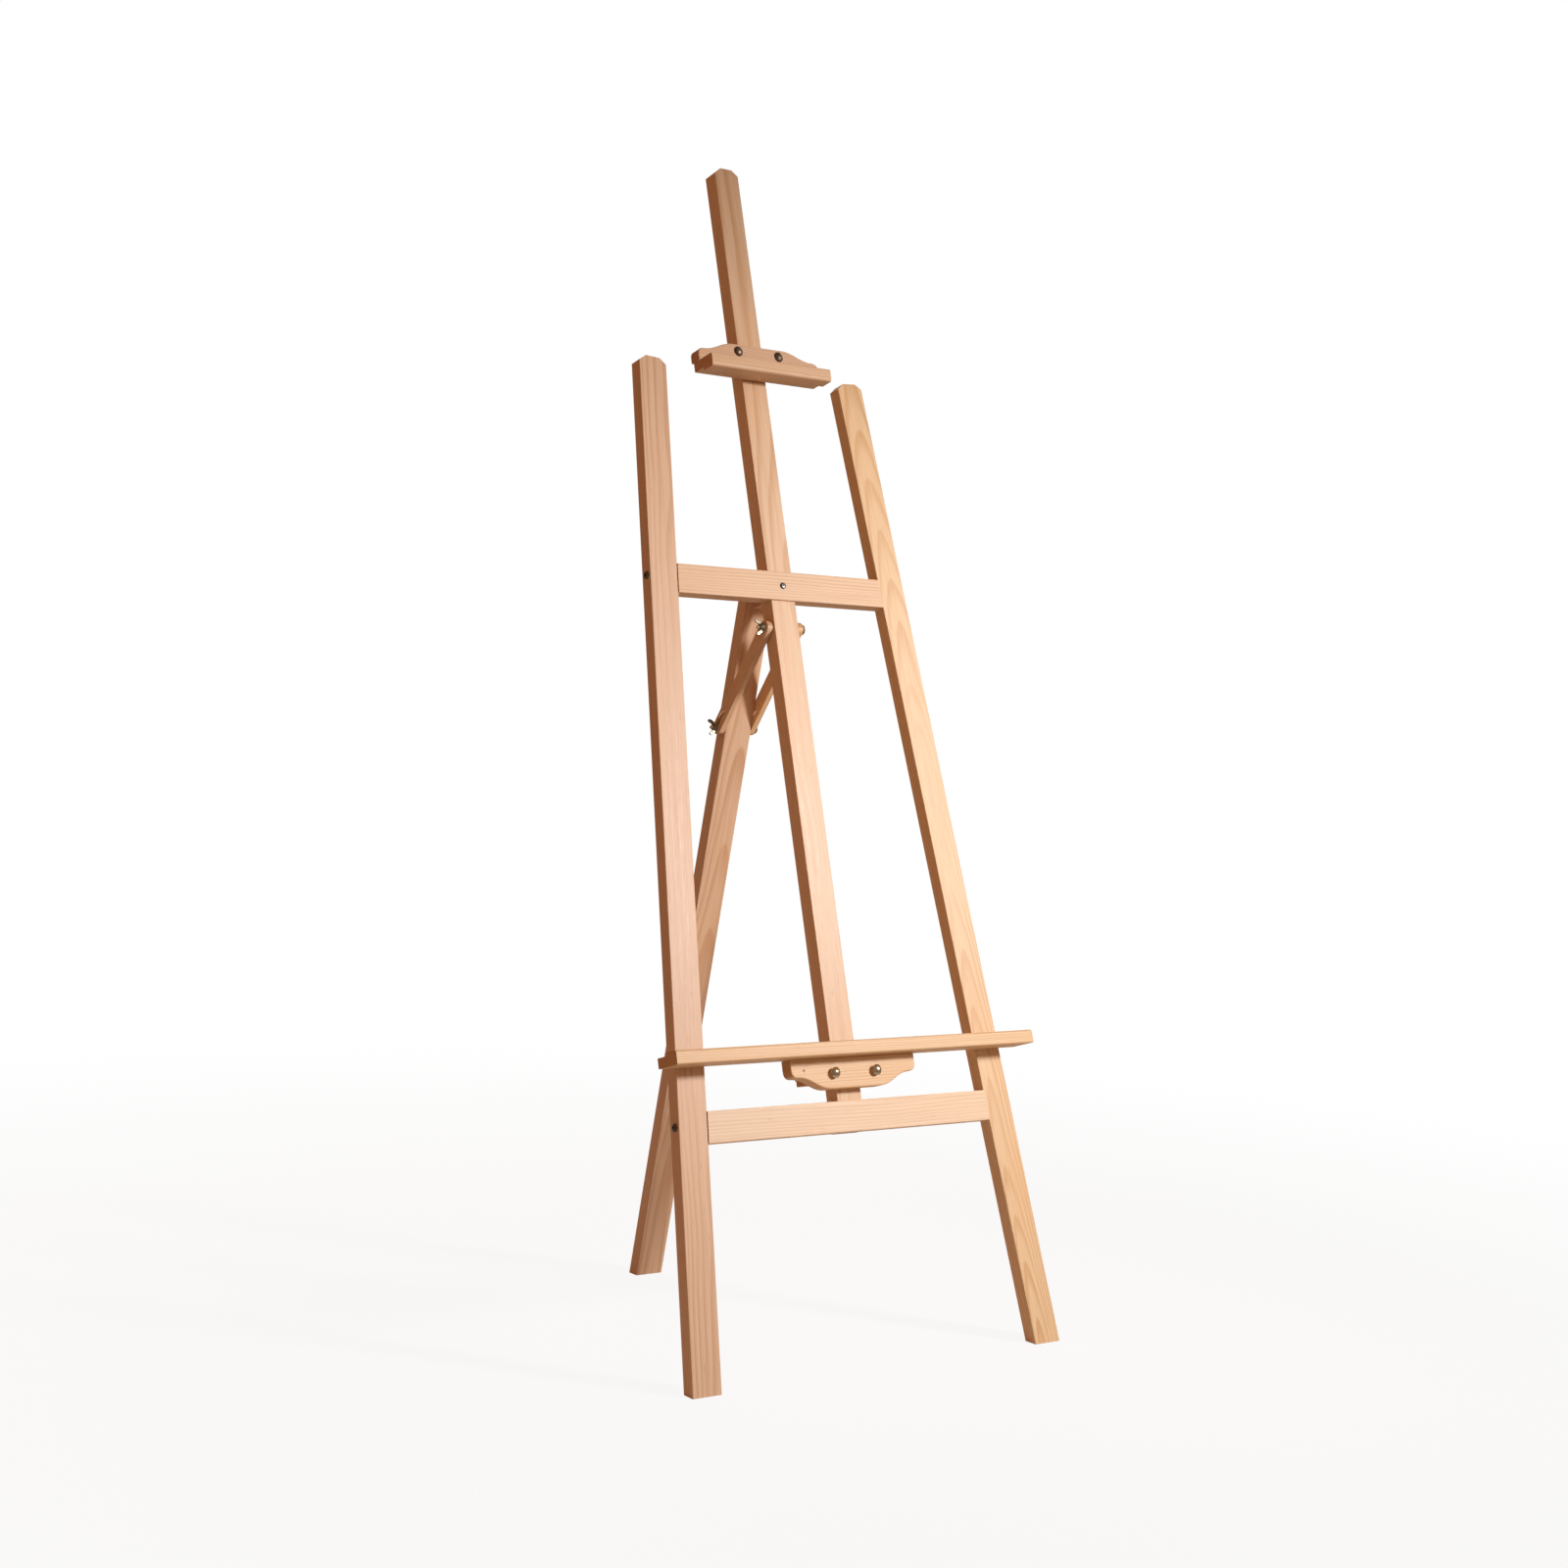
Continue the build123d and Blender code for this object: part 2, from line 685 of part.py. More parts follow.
def ogee_plate(bearing_s, up, plate_height, neck_depth):
    """Front plate: one straight long edge at bearing_s, the other with an ogee at each end."""
    half = plate_width / 2

    def s_at(height):
        return bearing_s - up * (plate_height - height)

    corner_height = (shelf_plate_height - plate_shoulder) * plate_height / shelf_plate_height
    shoulder = s_at(corner_height + plate_corner)
    with BuildPart() as plate:
        with BuildSketch(lean.offset(-plate_front)):
            with BuildLine():
                Line((-half, s_at(plate_height)), (half, s_at(plate_height)))
                Line((-plate_flat / 2, s_at(0)), (plate_flat / 2, s_at(0)))
                for side in (1, -1):
                    corner_x = side * (half - plate_corner)
                    toe_x = side * plate_flat / 2
                    reach = (corner_x - toe_x) * 0.4
                    Line((side * half, s_at(plate_height)), (side * half, shoulder))
                    Bezier(
                        (side * half, shoulder),
                        (side * half, s_at(corner_height)),
                        (corner_x, s_at(corner_height)),
                    )
                    Bezier(
                        (corner_x, s_at(corner_height)),
                        (corner_x - reach, s_at(corner_height)),
                        (toe_x + reach, s_at(0)),
                        (toe_x, s_at(0)),
                    )
            make_face()
        extrude(amount=-plate_thickness)
        fillet(plate.faces().sort_by(lean_axis)[-1].edges(), plate_ease)
        for bolt_seat in clamp_bolt_seats(bearing_s, up, plate_front, -lean_back):
            with Locations(bolt_seat):
                Hole(bolt_radius + bolt_clearance, depth=plate_thickness)
            if neck_depth > 0:
                with BuildSketch(bolt_seat):
                    Rectangle(bolt_neck_side + screw_clearance, bolt_neck_side + screw_clearance)
                extrude(amount=-neck_depth - screw_clearance, mode=Mode.SUBTRACT)
        with Locations(*screw_seats(bearing_s, up)):
            Hole(shelf_screw_radius + screw_clearance, depth=shelf_screw_length + screw_clearance)
    return plate


def clamp_bolt_seats(bearing_s, up, depth, z_dir):
    """Planes on the two bolt lines of a clamp, at a depth."""
    bolt_s = bearing_s - up * clamp_bolt_offset
    places = [at(side * clamp_bolt_spacing / 2, bolt_s, depth) for side in (-1, 1)]
    return [Plane(origin=place, x_dir=(1, 0, 0), z_dir=z_dir) for place in places]


def screw_seats(bearing_s, up):
    """Planes of the screw heads on the low part of a clamp's bar, above the middle of its plate."""
    seat_s = bearing_s + up * shelf_thickness
    middle = (plate_front + plate_back) / 2
    return [Plane(origin=at(x, seat_s, middle), x_dir=(1, 0, 0), z_dir=lean_up * up) for x in screw_rows]


def rabbeted_bar(length, bearing_s, up):
    """Bar along X with a raised lip at its front edge."""
    back = -shelf_leg_gap
    front = back - shelf_depth
    step = front + shelf_lip_width
    low = bearing_s + up * shelf_thickness
    lip = low + up * shelf_lip_height
    with BuildPart() as bar:
        with BuildSketch(lean_side.offset(-length / 2)):
            with BuildLine():
                FilletPolyline(
                    (back, bearing_s),
                    (front, bearing_s),
                    (front, lip),
                    (step, lip),
                    (step, low),
                    (back, low),
                    radius=[
                        timber_ease,
                        shelf_nose_radius / 2,
                        shelf_nose_radius,
                        timber_ease,
                        timber_ease,
                        timber_ease,
                    ],
                    close=True,
                )
            make_face()
        extrude(amount=length)
        with Locations(*screw_seats(bearing_s, up)):
            CounterSinkHole(
                shelf_screw_radius + screw_clearance,
                shelf_screw_head_radius + screw_clearance,
                depth=shelf_thickness * 2,
                counter_sink_angle=90,
            )
    return bar


def clamp(name, bar_name, bar_length, plate_height, bearing_s, up, neck_depth):
    """Canvas clamp; its bar lies above the plate where up is 1, or below it where up is -1."""
    write(rabbeted_bar(bar_length, bearing_s, up), bar_name)
    write(ogee_plate(bearing_s, up, plate_height, neck_depth), f"{name}_plate")
    bolt_s = bearing_s - up * clamp_bolt_offset

    with BuildPart() as rear_block:
        with BuildSketch(lean.offset(-block_front)):
            with Locations((0, bolt_s)):
                Rectangle(rear_block_width, rear_block_height)
        extrude(amount=-rear_block_thickness)
        fillet(rear_block.faces().sort_by(lean_axis)[0].edges(), plate_ease)
        with Locations(*clamp_bolt_seats(bearing_s, up, block_front, -lean_back)):
            Hole(bolt_radius + bolt_clearance, depth=rear_block_thickness)
    write(rear_block, f"{name}_rear_block")

    neck_end = plate_front + neck_depth
    with BuildPart() as bolts:
        with Locations(*clamp_bolt_seats(bearing_s, up, neck_end, -lean_back)):
            add(carriage_bolt(clamp_reach - neck_end))
    write(bolts, f"{name}_bolts")

    with BuildPart() as washers:
        with Locations(*clamp_bolt_seats(bearing_s, up, block_back, lean_back)):
            add(flat_washer)
    write(washers, f"{name}_washers")

    nut_seats = clamp_bolt_seats(bearing_s, up, block_back + washer_thickness, lean_back)
    for side, nut_seat in zip(("left", "right"), nut_seats):
        with BuildPart() as nut:
            with Locations(nut_seat):
                add(butterfly)
        write(nut, f"{name}_{side}_wing_nut")

    with BuildPart() as screws:
        with Locations(*screw_seats(bearing_s, up)):
            add(shelf_screw)
    write(screws, f"{name}_screws")


shelf_underside_s = lower_crossbar_s + crossbar_height / 2 + shelf_rest_height + shelf_plate_height
clamp("shelf", "canvas_shelf", shelf_length, shelf_plate_height, shelf_underside_s, 1, 0)
clamp("top", "top_bar", top_bar_length, top_plate_height, top_bar_upper_s, -1, bolt_neck_height)
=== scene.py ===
"""Studio looks for a wooden lyre easel: planed pine timbers, zinc M6 hardware and dark crossbar fixings.

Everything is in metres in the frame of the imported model: +Z up, the feet on Z = 0, X to the right, and the
front frame leaning back towards +Y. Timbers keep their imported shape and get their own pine; the fixings are
turned afresh with domes, threads, recesses and forged wings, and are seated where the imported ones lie.
"""

import json
import logging
import math
from dataclasses import dataclass, field
from enum import Enum
from typing import Callable, Optional, Union

import bmesh
import bpy
import numpy as np
from mathutils import Matrix, Vector


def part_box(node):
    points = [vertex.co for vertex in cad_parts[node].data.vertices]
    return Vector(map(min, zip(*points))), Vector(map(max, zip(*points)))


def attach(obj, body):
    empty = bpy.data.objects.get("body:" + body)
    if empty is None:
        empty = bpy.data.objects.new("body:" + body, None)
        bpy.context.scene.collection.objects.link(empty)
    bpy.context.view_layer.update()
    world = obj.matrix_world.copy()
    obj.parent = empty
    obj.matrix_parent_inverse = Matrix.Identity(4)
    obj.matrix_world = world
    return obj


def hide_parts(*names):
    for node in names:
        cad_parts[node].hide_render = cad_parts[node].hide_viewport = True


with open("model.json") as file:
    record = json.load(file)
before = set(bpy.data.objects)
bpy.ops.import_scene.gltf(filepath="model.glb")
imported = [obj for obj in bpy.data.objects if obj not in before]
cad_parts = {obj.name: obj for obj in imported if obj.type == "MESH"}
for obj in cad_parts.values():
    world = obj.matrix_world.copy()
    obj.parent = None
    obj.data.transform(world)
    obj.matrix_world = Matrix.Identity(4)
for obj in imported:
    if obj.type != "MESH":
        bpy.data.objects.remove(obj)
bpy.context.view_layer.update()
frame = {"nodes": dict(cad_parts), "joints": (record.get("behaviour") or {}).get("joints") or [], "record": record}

logging.basicConfig(level=logging.INFO, format="%(message)s")
log = logging.getLogger("easel")

Colour = tuple[float, float, float]
Place = tuple[float, float, float]
Pair = tuple[float, float]
Outline = list[Pair]
Term = Union["Signal", float]  # what a signal can be worked with
Settings = Optional[dict[str, Union[str, int, float, bool]]]
Key = Union[str, int]  # a socket's name, identifier or place
Inputs = Optional[dict[Key, object]]

MM = 0.001
RIGHT = Vector((1, 0, 0))
WELD_REACH = 0.01 * MM  # corners this close are one
END_SHARE = 0.03  # share of a timber's height that counts as one of its ends


# ---------------------------------------------------------------- shader helpers


class Signal:
    """A number, colour or vector on its way through a shader, which adds Math nodes as it is worked on."""

    def __init__(self, bench: "NodeBench", socket: bpy.types.NodeSocket) -> None:
        """Notes the bench that its nodes go on and the socket that it comes from."""
        self.bench = bench
        self.socket = socket

    def _math(self, operation: str, *others: Term) -> "Signal":
        """Adds one Math node, with this signal as its first input."""
        inputs = dict(enumerate((self, *others)))
        return self.bench.add("ShaderNodeMath", {"operation": operation}, inputs)

    def __add__(self, other: Term) -> "Signal":
        """Sum."""
        return self._math("ADD", other)

    __radd__ = __add__

    def __mul__(self, other: Term) -> "Signal":
        """Product."""
        return self._math("MULTIPLY", other)

    __rmul__ = __mul__

    def __sub__(self, other: Term) -> "Signal":
        """Difference."""
        return self._math("SUBTRACT", other)

    def __rsub__(self, other: float) -> "Signal":
        """A number less this signal."""
        return (self * -1.0) + other

    def __truediv__(self, other: Term) -> "Signal":
        """Quotient."""
        return self._math("DIVIDE", other)

    def __abs__(self) -> "Signal":
        """Size without sign."""
        return self._math("ABSOLUTE")

    def fraction(self) -> "Signal":
        """Part after the decimal point."""
        return self._math("FRACT")

    def most(self, other: Term) -> "Signal":
        """The larger of two."""
        return self._math("MAXIMUM", other)

    def least(self, other: Term) -> "Signal":
        """The smaller of two."""
        return self._math("MINIMUM", other)

    def hypot(self, other: "Signal") -> "Signal":
        """Length of a flat vector with these two sides."""
        return (self * self + other * other)._math("SQRT")

    def step(self, start: float, end: float) -> "Signal":
        """Smooth rise from 0 at start to 1 at end, or a fall where end is below start.

        Args:
            start: Value that gives 0.
            end: Value that gives 1.

        Returns:
            The eased share.
        """
        low, high = (start, end) if start < end else (end, start)
        rise = self.bench.add(
            "ShaderNodeMapRange",
            {"interpolation_type": "SMOOTHSTEP"},
            {"Value": self, "From Min": low, "From Max": high},
        )
        return rise if start < end else 1.0 - rise


class NodeBench:
    """The nodes of one material or world, laid with one call each."""

    def __init__(self, tree: bpy.types.NodeTree) -> None:
        """Takes the node tree that is worked on."""
        self.tree = tree

    def place(self, kind: str, settings: Settings = None, inputs: Inputs = None) -> bpy.types.Node:
        """Adds a node, with its settings made first and its sockets filled after.

        Args:
            kind: Blender's node type.
            settings: Properties of the node.
            inputs: Values or signals by socket name, identifier or place.

        Returns:
            The node.
        """
        node = self.tree.nodes.new(kind)
        for name, value in (settings or {}).items():
            setattr(node, name, value)
        for key, value in (inputs or {}).items():
            socket = self._socket(node.inputs, key)
            if isinstance(value, Signal):
                self.tree.links.new(value.socket, socket)
            else:
                socket.default_value = value
        return node

    def add(self, kind: str, settings: Settings = None, inputs: Inputs = None, output: Key = 0) -> Signal:
        """Adds a node and gives one of its outputs.

        Args:
            kind: Blender's node type.
            settings: Properties of the node.
            inputs: Values or signals by socket name, identifier or place.
            output: Name, identifier or place of the output.

        Returns:
            That output as a signal.
        """
        node = self.place(kind, settings, inputs)
        return Signal(self, self._socket(node.outputs, output))

    def noise(self, vector: Signal, scale: float, detail: float = 2.0, output: str = "Fac") -> Signal:
        """Noise over a vector.

        Args:
            vector: Where it is read.
            scale: Features per unit.
            detail: Octaves beyond the first.
            output: "Fac" for a number or "Color" for three.

        Returns:
            The noise, about 0.5 in the middle.
        """
        inputs = {"Vector": vector, "Scale": scale, "Detail": detail}
        return self.add("ShaderNodeTexNoise", None, inputs, output)

    def mix(self, share: Term, first: object, second: object, how: str = "MIX") -> Signal:
        """Mixes two colours.

        Args:
            share: How much of the second.
            first: Colour or signal.
            second: Colour or signal.
            how: Blend type.

        Returns:
            The mixed colour.
        """
        settings = {"data_type": "RGBA", "blend_type": how, "clamp_factor": True}
        inputs = {"Factor_Float": share, "A_Color": _rgba(first), "B_Color": _rgba(second)}
        return self.add("ShaderNodeMix", settings, inputs, "Result_Color")

    def split(self, vector: Signal) -> tuple[Signal, Signal, Signal]:
        """The three parts of a vector."""
        node = self.place("ShaderNodeSeparateXYZ", None, {"Vector": vector})
        return tuple(Signal(self, socket) for socket in node.outputs)

    def join(self, *parts: Term) -> Signal:
        """A vector of three parts."""
        return self.add("ShaderNodeCombineXYZ", None, dict(enumerate(parts)))

    @staticmethod
    def _socket(sockets: bpy.types.bpy_prop_collection, key: Key) -> bpy.types.NodeSocket:
        """Finds a socket by its place, its identifier or, failing that, its name."""
        found = None if isinstance(key, int) else next((s for s in sockets if s.identifier == key), None)
        return found or sockets[key]


def _rgba(colour: object) -> object:
    """Adds an alpha to a plain colour and leaves a signal alone."""
    return colour if isinstance(colour, Signal) else (*colour, 1.0)


def new_material(name: str) -> tuple[bpy.types.Material, NodeBench]:
    """An empty node material.

    Args:
        name: Its name.

    Returns:
        The material and the bench for its nodes.
    """
    material = bpy.data.materials.new(name)
    material.use_nodes = True
    material.node_tree.nodes.clear()
    return material, NodeBench(material.node_tree)


def dress(piece: bpy.types.Object, material: bpy.types.Material) -> None:
    """Puts one material in every slot of a piece.

    Args:
        piece: The piece.
        material: Its finish.
    """
    slots = piece.data.materials
    for index in range(len(slots)):
        slots[index] = material
    if not slots:
        slots.append(material)


def finish_material(bench: NodeBench, look: dict[Key, object], relief: Inputs) -> None:
    """Closes a material with a bump, a principled shader and the output.

    Args:
        bench: Where the nodes go.
        look: The shader's inputs, apart from its normal.
        relief: The bump's strength, distance and height.
    """
    normal = bench.add("ShaderNodeBump", None, relief, "Normal")
    shader = bench.add("ShaderNodeBsdfPrincipled", None, {**look, "Normal": normal})
    bench.place("ShaderNodeOutputMaterial", None, {"Surface": shader})


def set_down(name: str, data: bpy.types.ID) -> bpy.types.Object:
    """Adds an object to the scene.

    Args:
        name: Its name.
        data: Its mesh, light or camera.

    Returns:
        The object.
    """
    made = bpy.data.objects.new(name, data)
    bpy.context.scene.collection.objects.link(made)
    return made


def to_mesh(graph: bmesh.types.BMesh, name: str) -> bpy.types.Mesh:
    """Turns worked faces into a mesh and frees them.

    Args:
        graph: The faces.
        name: Name of the mesh.

    Returns:
        The mesh.
    """
    made = bpy.data.meshes.new(name)
    graph.to_mesh(made)
    graph.free()
    return made


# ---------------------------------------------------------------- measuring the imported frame


def joint_record(name: str) -> dict:
    """The record of one joint."""
    return next(j for j in frame["joints"] if j["name"] == name)


def node_points(node: str) -> np.ndarray:
    """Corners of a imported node.

    Args:
        node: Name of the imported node.

    Returns:
        One row for each corner.
    """
    vertices = frame["nodes"][node].data.vertices
    flat = np.zeros(len(vertices) * 3, np.float32)
    vertices.foreach_get("co", flat)
    return flat.reshape(-1, 3).astype(float)


def islands(node: str) -> list[np.ndarray]:
    """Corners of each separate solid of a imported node, sorted from left to right and then upwards.

    Args:
        node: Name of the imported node.

    Returns:
        One array of points for each solid.
    """
    graph = bmesh.new()
    graph.from_mesh(frame["nodes"][node].data)
    bmesh.ops.remove_doubles(graph, verts=graph.verts, dist=WELD_REACH)
    graph.verts.ensure_lookup_table()
    left, found = set(graph.verts), []
    while left:
        stack, group = [left.pop()], []
        while stack:
            vertex = stack.pop()
            group.append(tuple(vertex.co))
            near = {edge.other_vert(vertex) for edge in vertex.link_edges} & left
            left -= near
            stack.extend(near)
        found.append(np.array(group))
    graph.free()
    return sorted(found, key=lambda p: (round(p[:, 0].mean(), 3), round(p[:, 2].mean(), 3)))


def extent(points: np.ndarray, axis: Vector) -> float:
    """How far points reach along a direction."""
    return float(np.ptp(points @ np.array(axis)))


LEAN_UP = Vector(joint_record("shelf_height")["axis"]).normalized()
LEAN_BACK = RIGHT.cross(LEAN_UP) * -1.0


def long_axis(node: str) -> Vector:
    """Direction up the length of a straight timber, from its lowest points to its highest.

    Args:
        node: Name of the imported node.

    Returns:
        The direction.
    """
    points = node_points(node)
    order = points[:, 2]
    reach = (order.max() - order.min()) * END_SHARE
    foot = points[order < order.min() + reach]
    head = points[order > order.max() - reach]
    middles = [(p.min(0) + p.max(0)) / 2 for p in (foot, head)]
    return Vector(middles[1] - middles[0]).normalized()


def across_leg(leg: str, side: int) -> Vector:
    """Direction square to a leg, out to its left for side -1 and to its right for 1."""
    axis = long_axis(leg).cross(LEAN_BACK)
    return axis if axis.x * side > 0 else -axis


@dataclass(frozen=True)
class Seat:
    """Where a turned fixing stands: its +Z along facing, its +X along side."""

    origin: Vector
    facing: Vector
    side: Vector

    def matrix(self) -> Matrix:
        """Turn and place of the seat.

        Returns:
            The matrix that takes a fixing from the origin to the seat.
        """
        z_axis = self.facing.normalized()
        x_axis = (self.side - z_axis * self.side.dot(z_axis)).normalized()
        turn = Matrix((x_axis, z_axis.cross(x_axis), z_axis)).transposed()
        return Matrix.Translation(self.origin) @ turn.to_4x4()


Facing = Union[Vector, Callable[[Vector], Vector]]


def seats_of(node: str, facing: Facing, side: Vector, depth: float) -> list[Seat]:
    """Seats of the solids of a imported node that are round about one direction.

    Args:
        node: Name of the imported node.
        facing: Direction of their heads, or a rule that gives it from a solid's middle.
        side: Direction of each fixing's own X.
        depth: How far the seat lies below the head's outermost point.

    Returns:
        One seat for each solid.
    """
    found = []
    for points in islands(node):
        middle = Vector((points.min(0) + points.max(0)) / 2)
        head = (facing(middle) if callable(facing) else facing).normalized()
        first = (side - head * side.dot(head)).normalized()
        second = head.cross(first)
        along = points @ np.array(head)
        across = [points @ np.array(axis) for axis in (first, second)]
        place = head * (along.max() - depth)
        for axis, spread in zip((first, second), across):
            place += axis * ((spread.min() + spread.max()) / 2)
        found.append(Seat(place, head, side))
    return found


# ---------------------------------------------------------------- pine


class PineTone(Enum):
    """Colours of planed pine: between the rings, at a ring, and in a knot."""

    PEACH = ((0.765, 0.535, 0.350), (0.610, 0.355, 0.185), (0.240, 0.095, 0.040))
    ROSE = ((0.730, 0.495, 0.330), (0.575, 0.325, 0.180), (0.240, 0.095, 0.040))
    HONEY = ((0.790, 0.555, 0.330), (0.625, 0.355, 0.160), (0.260, 0.110, 0.040))
    CREAM = ((0.840, 0.640, 0.455), (0.690, 0.450, 0.270), (0.280, 0.125, 0.055))


@dataclass(frozen=True)
class Knot:
    """A knot through a timber, placed across and along its middle line, in metres."""

    across: float
    along: float
    radius: float


@dataclass(frozen=True)
class Pine:
    """Clear-finished pine cut from one log: growth rings about a pith that lies beside the timber."""

    tone: PineTone
    pith: Pair  # across the width and the thickness, from the middle line
    pith_lean: Pair = (0.0, 0.0)  # how far the pith drifts each way, per metre of length
    ring_spacing: float = 3.4 * MM
    ring_depth: float = 0.90  # strength of the dark ring lines
    ring_rise: Pair = (0.35, 0.88)  # where in a ring the dark line starts and is full
    ring_fall: Pair = (1.0, 0.90)  # where it has ended and is still full
    wander: float = 5.0 * MM
    seed: float = 0.0
    knots: tuple[Knot, ...] = ()
    fibre: Pair = (0.35 * MM, 20 * MM)  # width and length
    streak: Pair = (1.6 * MM, 160 * MM)
    fleck: Pair = (4.5 * MM, 70 * MM)
    warm_share: float = 0.45  # of broad warmer patches, and so on for the other marks
    streak_share: float = 0.42
    pale_share: float = 0.5
    fibre_share: float = 0.22
    fleck_share: float = 0.55
    end_share: float = 0.85
    end_dark: Colour = (0.70, 0.55, 0.42)
    # width of the lightened long edges: partly wear, partly a painted edge highlight
    rim_wear_and_highlight: float = 1.6 * MM
    roughness: float = 0.46
    bump_depth: float = 0.12 * MM

    def material(self, name: str, place: Matrix, half: Vector) -> bpy.types.Material:
        """Builds the wood for one timber.

        Args:
            name: Name of the timber.
            place: Its middle and its axes: width, thickness and length.
            half: Half its size along those axes.

        Returns:
            The material.
        """
        material, bench = new_material(f"pine_{name}")
        coordinates = bench.place("ShaderNodeTexCoord")
        local = bench.add(
            "ShaderNodeMapping",
            {"vector_type": "TEXTURE"},
            {
                "Vector": Signal(bench, coordinates.outputs["Object"]),
                "Location": place.to_translation(),
                "Rotation": place.to_euler("XYZ"),
            },
        )
        x, y, z = bench.split(local)
        shifted = z + self.seed
        rings, swirl, knot_core = self._rings(bench, (x, y, z), shifted)
        phase = rings.fraction()
        late = phase.step(*self.ring_rise) * phase.step(*self.ring_fall)
        band = bench.noise(bench.join(rings * 0.23, self.seed, shifted * 0.8), 1.0, 1.0)
        late = late * (band * 0.9 + 0.35) * self.ring_depth

        fibre = bench.noise(self._stretched(bench, x, y, shifted, self.fibre), 1.0, 1.0)
        streak = bench.noise(self._stretched(bench, x, y, shifted, self.streak), 1.0, 3.0)
        patch = bench.noise(bench.join(x * 9.0, y * 9.0, shifted * 2.6), 1.0, 2.0)
        fleck = self._flecks(bench, self._stretched(bench, x, y, shifted, self.fleck))
        end = self._end_grain(bench, coordinates, place)

        early, ring_colour, knot_colour = self.tone.value
        warm = tuple(part * share for part, share in zip(early, (1.0, 0.86, 0.72)))
        pale = tuple(min(1.0, part * 1.08) for part in early)
        resin = tuple(part * 0.45 for part in ring_colour)
        colour = bench.mix(late, early, ring_colour)
        for share, tone in (
            (patch.step(0.38, 0.72) * self.warm_share, warm),
            (streak.step(0.42, 0.75) * self.streak_share, ring_colour),
            (streak.step(0.5, 0.25) * self.pale_share, pale),
            (fibre.step(0.45, 0.85) * self.fibre_share, ring_colour),
            (fleck * self.fleck_share, resin),
        ):
            colour = bench.mix(share, colour, tone)
        colour = bench.mix(end * self.end_share, colour, self.end_dark, "MULTIPLY")
        # the long edges are lightened: partly worn wood, partly a painted edge highlight
        rim = self._rim(bench, x, y, half)
        colour = bench.mix(rim * (fibre * 0.5 + 0.15), colour, pale)
        if swirl and knot_core:
            grain = (swirl * 900.0).fraction().step(0.2, 0.9)
            heart = bench.mix(grain * 0.6, knot_colour, ring_colour)
            colour = bench.mix(knot_core, colour, heart)

        rough = (fibre - 0.5) * 0.22 + (late * -0.10) + end * 0.25 + self.roughness
        height = fibre * 0.5 + streak * 0.35 + late * 0.35 - fleck * 0.8
        look = {
            "Base Color": colour,
            "Roughness": rough,
            "IOR": 1.47,
            "Specular IOR Level": 0.32,
            "Coat Weight": 0.08,
            "Coat Roughness": 0.35,
        }
        finish_material(bench, look, {"Strength": 0.55, "Distance": self.bump_depth, "Height": height})
        return material

    @staticmethod
    def _stretched(bench: NodeBench, x: Signal, y: Signal, shifted: Signal, size: Pair) -> Signal:
        """Place in the timber, counted in marks of that width and length."""
        return bench.join(x / size[0], y / size[0], shifted / size[1])

    def _rings(
        self, bench: NodeBench, place: tuple[Signal, Signal, Signal], shifted: Signal
    ) -> tuple[Signal, Optional[Signal], Optional[Signal]]:
        """Counts growth rings out from the pith, bent about the knots.

        Args:
            bench: Where the nodes go.
            place: Across the width, through the thickness and along the length.
            shifted: Along the length, moved so that no two timbers are alike.

        Returns:
            The ring count and, where there are knots, the distance from the nearest and the share of knot.
        """
        x, y, z = place
        slow = bench.noise(bench.join(x * 7.0, y * 7.0, shifted * 1.7), 1.0, 2.0, "Color")
        bend_x, bend_y, _ = bench.split(slow)
        across = x + (bend_x - 0.5) * (self.wander * 4.0) - z * self.pith_lean[0] - self.pith[0]
        through = y + (bend_y - 0.5) * (self.wander * 4.0) - z * self.pith_lean[1] - self.pith[1]
        radius = across.hypot(through)
        core, nearest = None, None
        for knot in self.knots:
            reach = (x - knot.across).hypot((z - knot.along) * 0.8)
            radius = radius + reach.step(knot.radius * 3.2, knot.radius * 0.6) * (knot.radius * 0.8)
            inside = reach.step(knot.radius * 1.05, knot.radius * 0.8)
            core = inside if core is None else core.most(inside)
            nearest = reach if nearest is None else nearest.least(reach)
        uneven = bench.noise(bench.join(radius * 60.0, self.seed, 0.0), 1.0, 1.0)
        return radius / self.ring_spacing + uneven * 1.6, nearest, core

    @staticmethod
    def _flecks(bench: NodeBench, cells: Signal) -> Signal:
        """Short dark resin marks along the grain.

        Args:
            bench: Where the nodes go.
            cells: Place in the timber, with room for one mark in each cell.

        Returns:
            The share of mark.
        """
        spot = bench.add("ShaderNodeTexVoronoi", None, {"Vector": cells, "Scale": 1.0}, "Distance")
        chance = bench.noise(cells, 0.45, 0.0)
        return spot.step(0.13, 0.05) * chance.step(0.52, 0.60)

    @staticmethod
    def _end_grain(bench: NodeBench, coordinates: bpy.types.Node, place: Matrix) -> Signal:
        """Finds the sawn ends, where a face looks along the timber.

        Args:
            bench: Where the nodes go.
            coordinates: The texture coordinates.
            place: The timber's middle and its axes.

        Returns:
            The share of end grain.
        """
        directions = {0: Signal(bench, coordinates.outputs["Normal"]), 1: tuple(place.to_3x3().col[2])}
        facing = bench.add("ShaderNodeVectorMath", {"operation": "DOT_PRODUCT"}, directions, "Value")
        return abs(facing).step(0.55, 0.9)

    def _rim(self, bench: NodeBench, x: Signal, y: Signal, half: Vector) -> Signal:
        """Share of lighter edge close to the long corners: partly worn wood, partly a painted edge highlight."""
        inward = (half.x - abs(x)).most(half.y - abs(y))
        return inward.step(self.rim_wear_and_highlight, self.rim_wear_and_highlight * 0.25)


